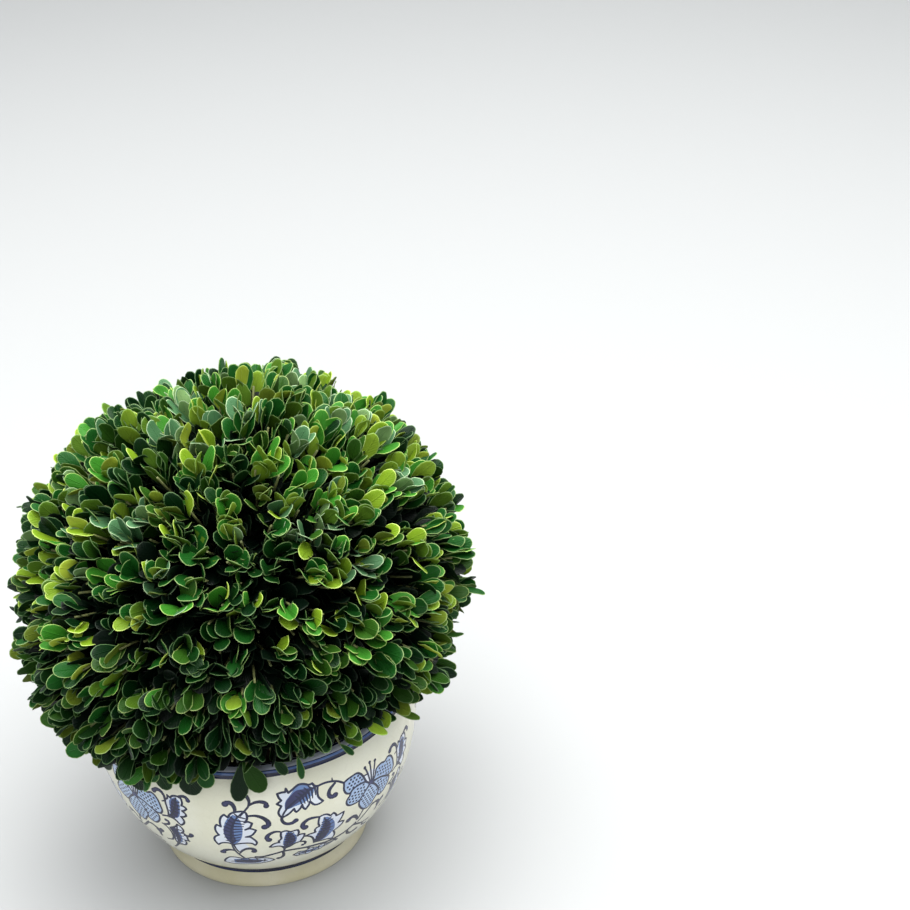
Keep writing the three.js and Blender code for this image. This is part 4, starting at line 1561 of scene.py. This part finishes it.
def leaf_material(name, colour, roughness, shine, depth):
    """A plain leaf colour over the leaf's relief, with the hard shine of a waxy skin."""
    values = {"Veins": LEAF_VEINS, "Grain Scale": LEAF_GRAIN_SCALE}
    relief = leaf_relief, values, RELIEF_STRENGTH, depth
    material, shader = surfaced(name, colour, roughness, *relief)
    shader.inputs["Specular IOR Level"].default_value = shine
    return material


# Roughness, shine and depth of relief of the two faces and the margin
LEAF_FINISHES = {
    "face": (0.42, 0.14, 0.0005),
    "back": (0.5, 0.11, 0.0004),
    "margin": (0.5, 0.2, 0.0001),
}
# Upper face, underside and margin of each tint
LEAF_TINTS = {
    "deep": ((2, 30, 6), (13, 42, 10), (74, 101, 62)),
    "dark": ((8, 45, 9), (30, 62, 12), (88, 114, 68)),
    "mid": ((19, 71, 20), (71, 102, 27), (116, 142, 85)),
    "fresh": ((48, 109, 30), (109, 137, 38), (133, 163, 84)),
    "olive": ((36, 71, 16), (86, 104, 30), (114, 134, 75)),
    # Grey-green, paler and bluer than the rest: partly painted sheen of the light from above.
    "grey": ((65, 104, 68), (96, 126, 76), (144, 167, 129)),
    "lime": ((106, 136, 28), (150, 169, 53), (164, 186, 94)),
    # Not a leaf colour of its own: near-black painted shade for leaves deep in the ball.
    "inner": ((2, 14, 6), (5, 20, 8), (19, 32, 19)),
}


def joined_leaves(name, kinds, materials):
    """Many leaves as one mesh, each closed in itself. A kind is a pattern with its leaves'
    corners."""
    spots, maps, indices, lengths, slots, start = [], [], [], [], [], 0
    for (points, faces, face_slots), leaves in kinds:
        count, size = leaves.shape[:2]
        flat_faces = np.concatenate([np.array(face) for face in faces])
        spots.append(leaves.reshape(-1, 3))
        indices.append((start + np.arange(count)[:, None] * size + flat_faces[None]).ravel())
        lengths.append(np.tile([len(face) for face in faces], count))
        slots.append(np.tile(face_slots, count))
        flat_map = np.stack([points[0] / 2 + 0.5, points[1]], 1)[flat_faces]
        maps.append(np.tile(flat_map, (count, 1)))
        start += count * size
    spots, maps, indices = map(np.concatenate, (spots, maps, indices))
    lengths, slots = np.concatenate(lengths), np.concatenate(slots)
    mesh = bpy.data.meshes.new(name)
    mesh.vertices.add(len(spots))
    mesh.vertices.foreach_set("co", (spots * MM).astype(np.float32).ravel())
    mesh.loops.add(len(indices))
    mesh.loops.foreach_set("vertex_index", indices.astype(np.int32))
    mesh.polygons.add(len(lengths))
    starts = np.concatenate([[0], np.cumsum(lengths)[:-1]])
    mesh.polygons.foreach_set("loop_start", starts.astype(np.int32))
    mesh.polygons.foreach_set("material_index", slots.astype(np.int32))
    mesh.polygons.foreach_set("use_smooth", slots != MARGIN)
    leaf_map = mesh.uv_layers.new(name="leaf_map")
    leaf_map.data.foreach_set("uv", maps.astype(np.float32).ravel())
    mesh.update(calc_edges=True)
    return placed(name, mesh, materials)


MOST_TRIANGLES = 180000
first_leaves = None
for tint, colours in LEAF_TINTS.items():
    materials = [
        leaf_material(tint + "_leaf_" + part, linear(*colour), *finish)
        for (part, finish), colour in zip(LEAF_FINISHES.items(), colours)
    ]
    kinds, triangles = [], 0
    for pattern, chosen in ((fine_leaf, ranks < FINE_RANKS), (plain_leaf, ranks >= FINE_RANKS)):
        chosen = chosen & (tints == tint)
        places = roots[chosen], aheads[chosen], face_outs[chosen], forms[chosen]
        corners = shaped_leaves(pattern, *places)
        corners = corners[stands_clear(corners, ranks[chosen] == HANGING_RANK)]
        kinds.append((pattern, corners))
        triangles += len(corners) * sum(len(face) - 2 for face in pattern[1])
    parts = math.ceil(triangles / MOST_TRIANGLES)
    for part in range(parts):
        share = [(pattern, np.array_split(corners, parts)[part]) for pattern, corners in kinds]
        piece_name = "leaves_" + tint + ("_%d" % (part + 1) if parts > 1 else "")
        leaves = joined_leaves(piece_name, share, materials)
        if first_leaves is None:
            first_leaves = leaves
            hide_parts("leaf_ball")
        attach(leaves, "root")
